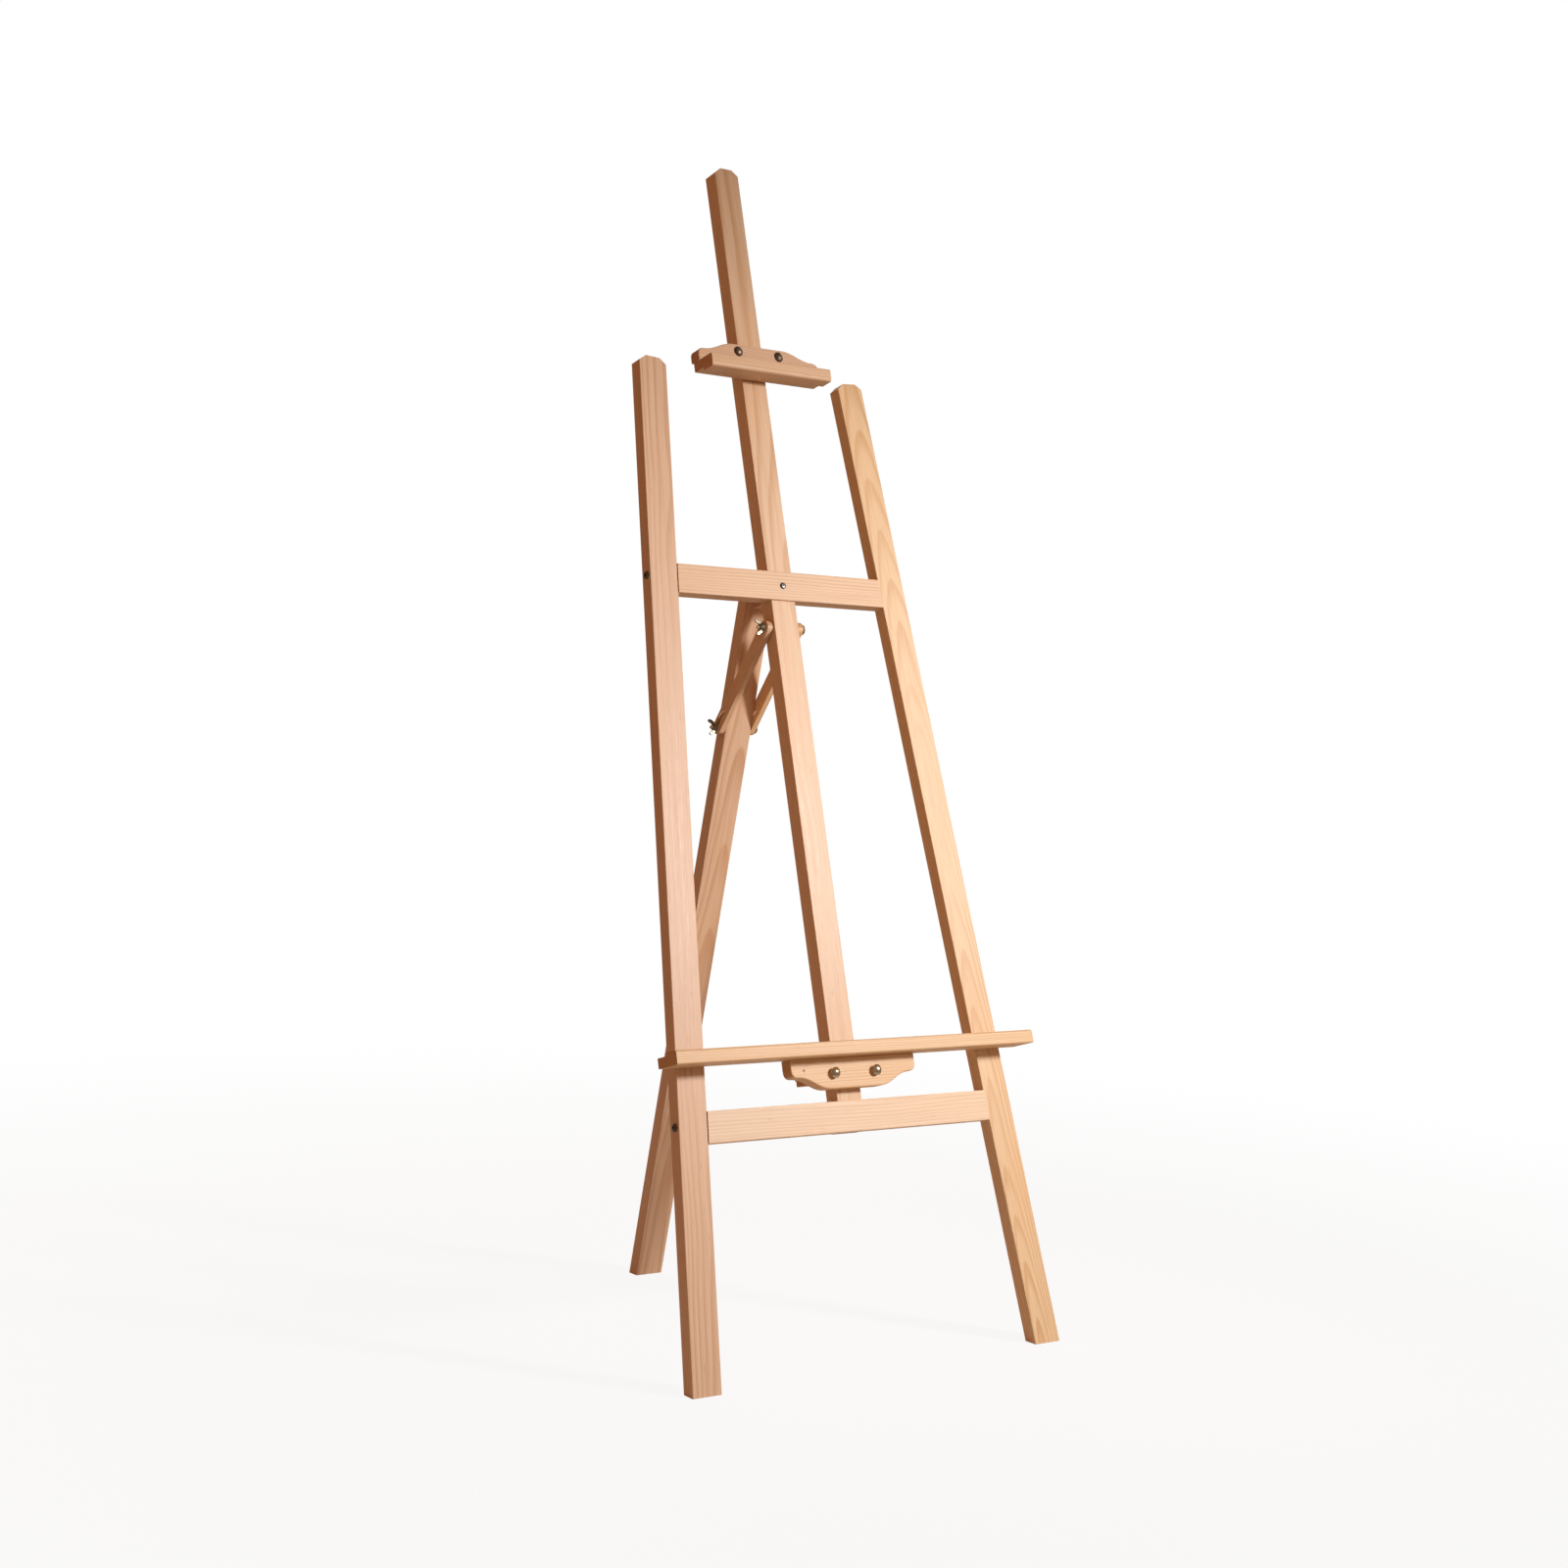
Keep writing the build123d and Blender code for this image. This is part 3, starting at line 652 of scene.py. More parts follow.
@dataclass(frozen=True)
class Timber:
    """A packed wooden node and the board that it is cut from."""

    node: str
    pine: Pine
    length_axis: Optional[Vector] = None  # up its own length where none is given
    width_axis: Vector = field(default_factory=lambda: RIGHT.copy())

    def finish(self) -> None:
        """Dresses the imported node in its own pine."""
        length = (self.length_axis or long_axis(self.node)).normalized()
        width = (self.width_axis - length * self.width_axis.dot(length)).normalized()
        axes = Matrix((width, length.cross(width), length)).transposed()
        local = node_points(self.node) @ np.array(axes)
        low, high = local.min(0), local.max(0)
        middle = axes @ Vector((low + high) / 2)
        place = Matrix.Translation(middle) @ axes.to_4x4()
        piece = frame["nodes"][self.node]
        dress(piece, self.pine.material(self.node, place, Vector((high - low) / 2)))
        log.info("timber %s, %.0f mm long", self.node, (high - low)[2] / MM)


# ---------------------------------------------------------------- metal


@dataclass(frozen=True)
class Metal:
    """Plated or blackened steel with mottling, rubbed marks and dull patches."""

    name: str
    slot: str
    colour: Colour
    dull: Colour
    roughness: float
    mottle_size: float = 1.4 * MM
    scratch_width: float = 0.12 * MM
    bump_depth: float = 0.03 * MM

    def material(self) -> bpy.types.Material:
        """Makes the finish the first time that it is asked for.

        Returns:
            The material.
        """
        known = bpy.data.materials.get(self.name)
        if known:
            return known
        material, bench = new_material(self.name)
        coordinates = bench.place("ShaderNodeTexCoord")
        point = Signal(bench, coordinates.outputs["Object"])
        mottle = bench.noise(point, 1.0 / self.mottle_size, 3.0)
        cloud = bench.noise(point, 1.0 / (self.mottle_size * 6.0), 2.0)
        x, y, z = bench.split(point)
        strokes = bench.join(x / (self.scratch_width * 14), y / self.scratch_width, z / self.scratch_width)
        scratch = bench.noise(strokes, 1.0, 1.0).step(0.62, 0.80)
        colour = bench.mix(cloud.step(0.42, 0.70) * 0.75, self.colour, self.dull)
        colour = bench.mix(mottle.step(0.55, 0.85) * 0.45, colour, self.dull)
        bright = tuple(min(1.0, part * 1.25) for part in self.colour)
        colour = bench.mix(scratch * 0.35, colour, bright)
        rough = (mottle - 0.5) * 0.22 + cloud.step(0.42, 0.70) * 0.14 + self.roughness
        look = {"Base Color": colour, "Metallic": 1.0, "Roughness": rough}
        height = mottle - scratch * 0.5
        finish_material(bench, look, {"Strength": 0.4, "Distance": self.bump_depth, "Height": height})
        return material


ZINC = Metal("yellow_zinc", "zinc_steel", (0.66, 0.60, 0.47), (0.40, 0.35, 0.25), 0.17, bump_depth=0.006 * MM)
# zinc darkened for the wing nuts: the dark base colour is painted shade and painted dark reflection
SHADED_CAST_ZINC = Metal("cast_zinc", "zinc_steel", (0.30, 0.27, 0.19), (0.13, 0.11, 0.075), 0.34, 0.8 * MM)
# darker copy of the yellow zinc: painted shade on the top clamp's bolt heads, which lie in shade
SHADED_ZINC = Metal("dull_zinc", "zinc_steel", (0.17, 0.13, 0.09), (0.08, 0.06, 0.04), 0.42)
BRIGHT_ZINC = Metal("bright_zinc", "zinc_steel", (0.78, 0.77, 0.74), (0.50, 0.49, 0.46), 0.26)
BLACK_STEEL = Metal("black_steel", "dark_steel", (0.16, 0.15, 0.15), (0.07, 0.065, 0.06), 0.36)


# ---------------------------------------------------------------- turning and seating


Radius = Union[float, Callable[[float], float]]
RINGS_PER_TURN = 6  # of a thread


class Turning:
    """A closed solid laid up as rings about Z, bottom ring first."""

    def __init__(self, segments: int) -> None:
        """Starts without rings, with this many corners to each."""
        self.segments = segments
        self.rings: list[list[Vector]] = []

    def profile(self, *steps: tuple[Radius, float]) -> "Turning":
        """Adds rings.

        Args:
            steps: Each ring's radius, or a rule that gives it from the angle, and its height.

        Returns:
            The turning, so that calls can follow each other.
        """
        for radius, height in steps:
            points = []
            for index in range(self.segments):
                angle = 2 * math.pi * index / self.segments
                reach = radius(angle) if callable(radius) else radius
                points.append(Vector((math.cos(angle) * reach, math.sin(angle) * reach, height)))
            self.rings.append(points)
        return self

    def thread(self, major: float, minor: float, pitch: float, low: float, high: float) -> "Turning":
        """Adds a screw thread that fades in and out at its ends.

        Args:
            major: Radius at the crests.
            minor: Radius at the roots.
            pitch: Rise in one turn.
            low: Height of its start.
            high: Height of its end.

        Returns:
            The turning.
        """
        count = max(2, round((high - low) / pitch * RINGS_PER_TURN))
        for index in range(count + 1):
            height = low + (high - low) * index / count
            fade = min(1.0, index / RINGS_PER_TURN, (count - index) / RINGS_PER_TURN)

            def crest(angle: float, height: float = height, fade: float = fade) -> float:
                """Radius of the thread at an angle of this ring."""
                share = (height / pitch - angle / (2 * math.pi)) % 1.0
                return minor + (major - minor) * (1 - abs(2 * share - 1)) * fade

            self.profile((crest, height))
        return self

    def dome(self, radius: float, rise: float, base: float, steps: int = 9) -> "Turning":
        """Adds a shallow spherical cap, up to just short of its top.

        Args:
            radius: Its radius at the rim.
            rise: Its height.
            base: Height of its rim.
            steps: Number of rings.

        Returns:
            The turning.
        """
        sphere = (radius**2 + rise**2) / (2 * rise)
        widest = math.asin(min(1.0, radius / sphere))
        for index in range(steps):
            angle = widest * (1 - index / steps)
            self.profile((sphere * math.sin(angle), base + rise - sphere * (1 - math.cos(angle))))
        return self

    def mesh(self, name: str, hollow: bool = False) -> bpy.types.Mesh:
        """Skins the rings.

        Args:
            name: Name of the mesh.
            hollow: Whether the last ring joins the first, as in a washer, or both ends are closed.

        Returns:
            The mesh, its faces pointing outwards.
        """
        graph = bmesh.new()
        loops = [[graph.verts.new(point) for point in ring] for ring in self.rings]
        pairs = list(zip(loops, loops[1:]))
        if hollow:
            pairs.append((loops[-1], loops[0]))
        for lower, upper in pairs:
            for index in range(self.segments):
                after = (index + 1) % self.segments
                graph.faces.new((lower[index], lower[after], upper[after], upper[index]))
        if not hollow:
            for loop, turned in ((loops[0], True), (loops[-1], False)):
                middle = sum((v.co for v in loop), Vector()) / self.segments
                pole = graph.verts.new(middle)
                for index in range(self.segments):
                    corners = (loop[index], loop[(index + 1) % self.segments], pole)
                    graph.faces.new(corners[::-1] if turned else corners)
        bmesh.ops.recalc_face_normals(graph, faces=graph.faces)
        return to_mesh(graph, name)


def square(side: float) -> Callable[[float], float]:
    """Rule for a square ring of that side."""
    return lambda angle: side / 2 / max(abs(math.cos(angle)), abs(math.sin(angle)))


def smooth(mesh: bpy.types.Mesh, sharp_angle: float = 32.0) -> bpy.types.Mesh:
    """Shades a mesh smooth except at its sharp edges.

    Args:
        mesh: The mesh.
        sharp_angle: Turn in degrees past which an edge is sharp.

    Returns:
        The same mesh.
    """
    mesh.shade_smooth()
    mesh.set_sharp_from_angle(angle=math.radians(sharp_angle))
    return mesh


def baked(piece: bpy.types.Object, name: str) -> bpy.types.Mesh:
    """Applies a piece's modifiers.

    Args:
        piece: The piece.
        name: Name of the mesh.

    Returns:
        The finished mesh.
    """
    bpy.context.view_layer.update()
    depsgraph = bpy.context.evaluated_depsgraph_get()
    made = bpy.data.meshes.new_from_object(piece.evaluated_get(depsgraph), depsgraph=depsgraph)
    made.name = name
    return made


def helper(mesh: bpy.types.Mesh) -> bpy.types.Object:
    """An object for work in progress, which leaves the scene again."""
    return set_down(f"work_{mesh.name}", mesh)


def cut(body: bpy.types.Mesh, cutter: bpy.types.Mesh) -> bpy.types.Mesh:
    """Cuts one closed mesh out of another.

    Args:
        body: What is cut.
        cutter: What is taken away.

    Returns:
        The mesh that is left.
    """
    whole, tool = helper(body), helper(cutter)
    step = whole.modifiers.new("cut", "BOOLEAN")
    step.operation = "DIFFERENCE"
    step.solver = "EXACT"
    step.use_self = True
    step.object = tool
    left = baked(whole, body.name)
    bpy.data.objects.remove(whole)
    bpy.data.objects.remove(tool)
    return left


def prism(name: str, outline: Outline, low: float, high: float, taper: float = 1.0) -> bpy.types.Mesh:
    """A closed prism over a flat outline.

    Args:
        name: Name of the mesh.
        outline: Its corners, anticlockwise.
        low: Height of its floor.
        high: Height of its top.
        taper: Size of the floor against the top.

    Returns:
        The mesh.
    """
    graph = bmesh.new()
    floor = [graph.verts.new((x * taper, y * taper, low)) for x, y in outline]
    top = [graph.verts.new((x, y, high)) for x, y in outline]
    graph.faces.new(floor[::-1])
    graph.faces.new(top)
    for index in range(len(outline)):
        after = (index + 1) % len(outline)
        graph.faces.new((floor[index], floor[after], top[after], top[index]))
    bmesh.ops.recalc_face_normals(graph, faces=graph.faces)
    return to_mesh(graph, name)


def cross_recess(reach: float, slot: float, depth: float, top: float) -> bpy.types.Mesh:
    """Cutter for a cross-head recess that narrows towards its floor.

    Args:
        reach: From the middle to the end of an arm.
        slot: Half an arm's width.
        depth: Depth of the recess.
        top: Height of the head's top.

    Returns:
        The cutter.
    """
    outline = []
    for quarter in range(4):
        turn = Matrix.Rotation(quarter * math.pi / 2, 2)
        for corner in ((reach, -slot), (reach, slot), (slot, slot)):
            outline.append(tuple(turn @ Vector(corner)))
    return prism("cross_recess", outline, top - depth, top + depth, taper=0.55)


class SeatedCopies:
    """Geometry Nodes that stand a copy of one fixing on every seat, each turned a little by chance."""

    def __init__(self) -> None:
        """Builds the tree once, for every kind of fixing."""
        self.tree = bpy.data.node_groups.new("seated_copies", "GeometryNodeTree")
        self.inputs: dict[str, str] = {}
        self._sockets()
        self._nodes()

    def _sockets(self) -> None:
        interface = self.tree.interface
        wanted = (
            ("Seats", "NodeSocketGeometry"),
            ("Fixing", "NodeSocketObject"),
            ("Size", "NodeSocketFloat"),
            ("Spin", "NodeSocketFloat"),
            ("Seed", "NodeSocketInt"),
            ("Finish", "NodeSocketMaterial"),
        )
        for name, kind in wanted:
            socket = interface.new_socket(name=name, in_out="INPUT", socket_type=kind)
            self.inputs[name] = socket.identifier
        interface.new_socket(name="Copies", in_out="OUTPUT", socket_type="NodeSocketGeometry")

    def _nodes(self) -> None:
        """Lays and links the tree's nodes."""
        bench = NodeBench(self.tree)
        entry = bench.place("NodeGroupInput")
        given = {socket.name: Signal(bench, socket) for socket in entry.outputs if socket.name}
        fixing = bench.add("GeometryNodeObjectInfo", None, {"Object": given["Fixing"]}, "Geometry")
        vector = {"data_type": "FLOAT_VECTOR"}
        facing = bench.add("GeometryNodeInputNamedAttribute", vector, {"Name": "facing"}, "Attribute")
        facing = bench.add("FunctionNodeEulerToRotation", None, {"Euler": facing})
        span = {"Min_001": 0.0, "Max_001": given["Spin"], "Seed": given["Seed"]}
        chance = bench.add("FunctionNodeRandomValue", {"data_type": "FLOAT"}, span, "Value_001")
        spin = bench.add("FunctionNodeEulerToRotation", None, {"Euler": bench.join(0.0, 0.0, chance)})
        turns = {"Rotation": facing, "Rotate By": spin}
        turn = bench.add("FunctionNodeRotateRotation", {"rotation_space": "LOCAL"}, turns)
        size = bench.join(given["Size"], given["Size"], given["Size"])
        placed = {"Points": given["Seats"], "Instance": fixing, "Rotation": turn, "Scale": size}
        copies = bench.add("GeometryNodeInstanceOnPoints", None, placed)
        solid = bench.add("GeometryNodeRealizeInstances", None, {"Geometry": copies})
        finish = {"Geometry": solid, "Material": given["Finish"]}
        dressed = bench.add("GeometryNodeSetMaterial", None, finish)
        bench.place("NodeGroupOutput", None, {0: dressed})

    def stand(
        self, node: str, fixing: bpy.types.Mesh, seats: list[Seat], metal: Metal, spin: float = 0.0
    ) -> None:
        """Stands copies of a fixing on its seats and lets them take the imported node's place.

        Args:
            node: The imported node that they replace; the piece is named for it.
            fixing: The fixing's mesh, standing on XY.
            seats: Where the copies go.
            metal: Their finish.
            spin: Largest turn by chance about their own axis, in radians.
        """
        points = bpy.data.meshes.new(f"{node}_seats")
        points.from_pydata([tuple(seat.origin) for seat in seats], [], [])
        facing = points.attributes.new("facing", "FLOAT_VECTOR", "POINT")
        turns = [angle for seat in seats for angle in seat.matrix().to_euler("XYZ")]
        facing.data.foreach_set("vector", turns)
        master, ground = helper(fixing), helper(points)
        modifier = ground.modifiers.new("copies", "NODES")
        modifier.node_group = self.tree
        values = {"Fixing": master, "Size": 1.0, "Spin": spin, "Seed": len(node), "Finish": metal.material()}
        for name, value in values.items():
            modifier[self.inputs[name]] = value
        mesh = smooth(baked(ground, node))
        bpy.data.objects.remove(ground)
        bpy.data.objects.remove(master)
        add_piece(f"{node}_detailed", mesh, body_of(node), metal, node)
        log.info("%s: %d of %s", node, len(seats), fixing.name)


def add_piece(name: str, mesh: bpy.types.Mesh, body: str, metal: Metal, node: str) -> None:
    """Adds a finished metal piece.

    Args:
        name: Its name.
        mesh: Its mesh, in place.
        body: The body that it moves with.
        metal: Its finish.
        node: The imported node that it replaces.
    """
    piece = set_down(name, mesh)
    dress(piece, metal.material())
    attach(piece, body)
    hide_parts(node)


def body_of(node: str) -> str:
    """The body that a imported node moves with."""
    bodies = frame["record"]["behaviour"]["bodies"]
    return next(body for body, nodes in bodies.items() if node in nodes)


# ---------------------------------------------------------------- hardware


@dataclass(frozen=True)
class ScrewSize:
    """Sizes of a screw or a connector bolt, apart from its length."""

    head: float  # radius
    shank: float  # radius at the thread's crests
    pitch: float
    rise: float = 0.0  # how far the head stands out


BAR_SCREW = ScrewSize(3.8 * MM, 2.0 * MM, 1.8 * MM)
HINGE_SCREW = ScrewSize(3.0 * MM, 1.4 * MM, 1.3 * MM)
MAST_SCREW = ScrewSize(5.0 * MM, 2.5 * MM, 2.0 * MM, 2.4 * MM)
CONNECTOR = ScrewSize(6.0 * MM, 3.0 * MM, 1.0 * MM, 2.6 * MM)


@dataclass
class Fasteners:
    """The easel's turned fixings: M6 bolts and washers, screws, connector bolts and barrel nuts."""

    copies: SeatedCopies
    shank: float = 3.0 * MM
    pitch: float = 1.0 * MM
    thread_depth: float = 0.42 * MM
    crest_wear: float = 0.03 * MM
    head_radius: float = 8.0 * MM
    head_height: float = 4.0 * MM
    head_rim: float = 0.35 * MM
    dome_step: float = 0.05 * MM
    neck_side: float = 6.5 * MM
    neck_height: float = 5.0 * MM
    tip_chamfer: float = 0.8 * MM
    threaded: float = 24.0 * MM
    socket_flats: float = 4.0 * MM
    nut_slot: float = 1.2 * MM  # its width and its depth
    nut_chamfer: float = 0.4 * MM
    bore_play: float = 0.05 * MM
    washer_bore: float = 1.1  # against the shank
    washer_spin: float = 3.0
    screw_spin: float = math.pi
    mast_screw_spin: float = 1.4
    connector_spin: float = 1.0

    def bolt(self, length: float) -> bpy.types.Mesh:
        """A dome-head carriage bolt whose square neck and shank hang from XY.

        Args:
            length: From under its head to its tip.

        Returns:
            The bolt's mesh.
        """
        minor, neck = self.shank - self.thread_depth, square(self.neck_side)
        crest, rim = self.shank - self.crest_wear, self.head_rim
        turning = Turning(32).profile(
            (self.shank - self.tip_chamfer, -length), (minor, -length + self.tip_chamfer * 0.6)
        )
        turning.thread(crest, minor, self.pitch, self.tip_chamfer - length, self.threaded - length)
        turning.profile(
            (self.shank, self.threaded - length + self.pitch / 2),
            (self.shank, -self.neck_height),
            (neck, -self.neck_height),
            (neck, 0),
            (self.head_radius - rim * 0.5, 0),
            (self.head_radius, rim * 0.35),
            (self.head_radius, rim),
        )
        turning.dome(self.head_radius - self.dome_step, self.head_height - rim, rim, 11)
        return turning.mesh("dome_bolt")

    @staticmethod
    def washer(inner: float, outer: float, thickness: float) -> bpy.types.Mesh:
        """A punched washer on XY with softened rims.

        Args:
            inner: Radius of its hole.
            outer: Its radius.
            thickness: Its thickness.

        Returns:
            The washer's mesh.
        """
        soft = thickness * 0.16
        under = ((inner, soft), (inner + soft, 0), (outer - soft, 0), (outer, soft))
        over = ((outer, thickness - soft), (outer - soft, thickness), (inner + soft, thickness))
        turning = Turning(40).profile(*under, *over, (inner, thickness - soft))
        return turning.mesh("washer", hollow=True)

    @staticmethod
    def wood_screw(size: ScrewSize, length: float) -> bpy.types.Mesh:
        """A countersunk screw flush with XY, with a cross recess and a pointed thread.

        Args:
            size: Its sizes.
            length: From its head to its point.

        Returns:
            The screw's mesh.
        """
        head, shank = size.head, size.shank
        cone = head - shank
        turning = Turning(24).profile((shank * 0.12, -length))
        for share in (0.25, 0.5, 0.75):
            turning.profile((shank * 0.7 * share + shank * 0.1, -length + shank * 2 * share))
        turning.thread(shank, shank * 0.72, size.pitch, shank * 2.2 - length, -length * 0.42)
        turning.profile((shank * 0.9, -length * 0.4), (shank * 0.9, -cone - 0.2 * MM))
        turning.profile((head, -0.18 * MM), (head - 0.12 * MM, 0.0))
        recess = cross_recess(head * 0.52, head * 0.11, cone * 0.75, 0.0)
        return cut(turning.mesh("countersunk_screw"), recess)

    @staticmethod
    def pan_screw(size: ScrewSize, length: float) -> bpy.types.Mesh:
        """A pan-head screw seated on XY, with a cross recess.

        Args:
            size: Its sizes.
            length: From under its head to its point.

        Returns:
            The screw's mesh.
        """
        head, rise, shank = size.head, size.rise, size.shank
        turning = Turning(32).profile((shank * 0.15, -length), (shank * 0.6, -length + shank * 1.4))
        turning.thread(shank, shank * 0.74, size.pitch, shank * 2.0 - length, -length * 0.35)
        turning.profile((shank * 0.92, -length * 0.33), (shank * 0.92, 0))
        turning.profile((head - 0.2 * MM, 0), (head, 0.25 * MM))
        for reach, height in ((0.99, 0.4), (0.93, 0.66), (0.78, 0.86), (0.5, 0.97)):
            turning.profile((head * reach, rise * height))
        turning.profile((head * 0.2, rise))
        recess = cross_recess(head * 0.55, head * 0.12, rise * 0.8, rise)
        return cut(turning.mesh("pan_screw"), recess)

    def connector(self, size: ScrewSize, length: float) -> bpy.types.Mesh:
        """A button-head bolt seated on XY, with a hexagon socket.

        Args:
            size: Its sizes.
            length: From under its head to its tip.

        Returns:
            The bolt's mesh.
        """
        head, rise, shank = size.head, size.rise, size.shank
        minor, crest = shank - self.thread_depth, shank - self.crest_wear
        turning = Turning(36).profile((shank - self.tip_chamfer, -length))
        turning.thread(crest, minor, size.pitch, self.tip_chamfer - length, -length * 0.55)
        turning.profile((shank, -length * 0.54), (shank, 0), (head - 0.15 * MM, 0), (head, 0.2 * MM))
        turning.profile((head, rise * 0.28), (head * 0.95, rise * 0.55), (head * 0.84, rise * 0.82))
        turning.profile((head * 0.68, rise), (head * 0.45, rise))
        corner = self.socket_flats / math.sqrt(3)
        hexagon = [(corner * math.cos(a), corner * math.sin(a)) for a in np.arange(6) * math.pi / 3]
        return cut(turning.mesh("connector_bolt"), prism("socket", hexagon, rise * 0.2, rise * 1.5))

    def barrel(self, radius: float, length: float) -> bpy.types.Mesh:
        """A barrel nut that hangs from XY, slotted across its end and bored across its middle.

        Args:
            radius: Its radius.
            length: Its length.

        Returns:
            The nut's mesh.
        """
        soft, reach, half = self.nut_chamfer, radius * 1.2, self.nut_slot / 2
        turning = Turning(36).profile(
            (radius - soft, -length), (radius, soft - length), (radius, -soft), (radius - soft, 0)
        )
        outline = [(-reach, -half), (reach, -half), (reach, half), (-reach, half)]
        slotted = cut(turning.mesh("barrel_nut"), prism("slot", outline, -self.nut_slot, 1.0 * MM))
        bore = self.shank + self.bore_play
        tool = Turning(28).profile((bore, -radius * 1.5), (bore, radius * 1.5)).mesh("bore")
        tool.transform(Matrix.Translation((0, 0, -length / 2)) @ Matrix.Rotation(math.pi / 2, 4, "Y"))
        return cut(slotted, tool)

    def fit(self) -> None:
        """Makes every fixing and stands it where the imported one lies."""
        self._fit_bolts()
        self._fit_washers()
        self._fit_screws()
        self._fit_connectors()

    def _fit_bolts(self) -> None:
        """Carriage bolts of both canvas clamps, of the mast and of the rear leg."""
        for node, facing, side, metal in (
            ("shelf_bolts", -LEAN_BACK, RIGHT, ZINC),
            # the top clamp's bolts take the darker zinc as painted shade
            ("top_bolts", -LEAN_BACK, RIGHT, SHADED_ZINC),
            ("upper_strut_bolt", RIGHT, LEAN_UP, ZINC),
            ("lower_strut_bolt", RIGHT, LEAN_UP, ZINC),
        ):
            length = extent(islands(node)[0], facing) - self.head_height
            self.copies.stand(node, self.bolt(length), seats_of(node, facing, side, self.head_height), metal)

    def _fit_washers(self) -> None:
        """Washers under every wing nut and beside the mast."""
        for node, facing in (
            ("upper_strut_washers", RIGHT),
            ("lower_strut_washer", RIGHT),
            ("shelf_washers", LEAN_BACK),
            ("top_washers", LEAN_BACK),
        ):
            points = islands(node)[0]
            thick, outer = extent(points, facing), extent(points, LEAN_UP) / 2
            washer = self.washer(self.shank * self.washer_bore, outer, thick)
            seats = seats_of(node, facing, LEAN_UP, thick)
            self.copies.stand(node, washer, seats, BRIGHT_ZINC, self.washer_spin)

    def _fit_screws(self) -> None:
        """Countersunk screws of the bars and the hinge, and the pan heads in the mast."""
        rear_face = long_axis("rear_leg").cross(RIGHT).normalized()
        for node, facing, size, metal in (
            ("shelf_screws", LEAN_UP, BAR_SCREW, ZINC),
            ("top_screws", -LEAN_UP, BAR_SCREW, ZINC),
            ("hinge_frame_screws", LEAN_BACK, HINGE_SCREW, BRIGHT_ZINC),
            ("hinge_leg_screws", rear_face, HINGE_SCREW, BRIGHT_ZINC),
        ):
            screw = self.wood_screw(size, extent(islands(node)[0], facing))
            self.copies.stand(node, screw, seats_of(node, facing, RIGHT, 0.0), metal, self.screw_spin)

        middle_height = sum(corner.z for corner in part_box("mast")) / 2

        def outward(middle: Vector) -> Vector:
            """The upper screw enters from the front and the lower one from behind."""
            return -LEAN_BACK if middle.z > middle_height else LEAN_BACK

        node, rise = "mast_screws", MAST_SCREW.rise
        length = min(extent(points, LEAN_BACK) for points in islands(node)) - rise
        seats = seats_of(node, outward, RIGHT, rise)
        self.copies.stand(node, self.pan_screw(MAST_SCREW, length), seats, BLACK_STEEL, self.mast_screw_spin)

    def _fit_connectors(self) -> None:
        """Crossbar bolts in the legs, and the barrel nuts behind the crossbars."""
        facing = {side: across_leg(leg, side) for side, leg in ((-1, "left_leg"), (1, "right_leg"))}

        def away(middle: Vector) -> Vector:
            """Out through the leg on that side."""
            return facing[1 if middle.x > 0 else -1]

        node, rise = "crossbar_bolts", CONNECTOR.rise
        length = extent(islands(node)[0], facing[-1]) - rise
        seats = seats_of(node, away, LEAN_UP, rise)
        self.copies.stand(node, self.connector(CONNECTOR, length), seats, BLACK_STEEL, self.connector_spin)
        node = "barrel_nuts"
        points = islands(node)[0]
        nut = self.barrel(extent(points, LEAN_UP) / 2, extent(points, LEAN_BACK))
        self.copies.stand(node, nut, seats_of(node, LEAN_BACK, RIGHT, 0.0), BRIGHT_ZINC)


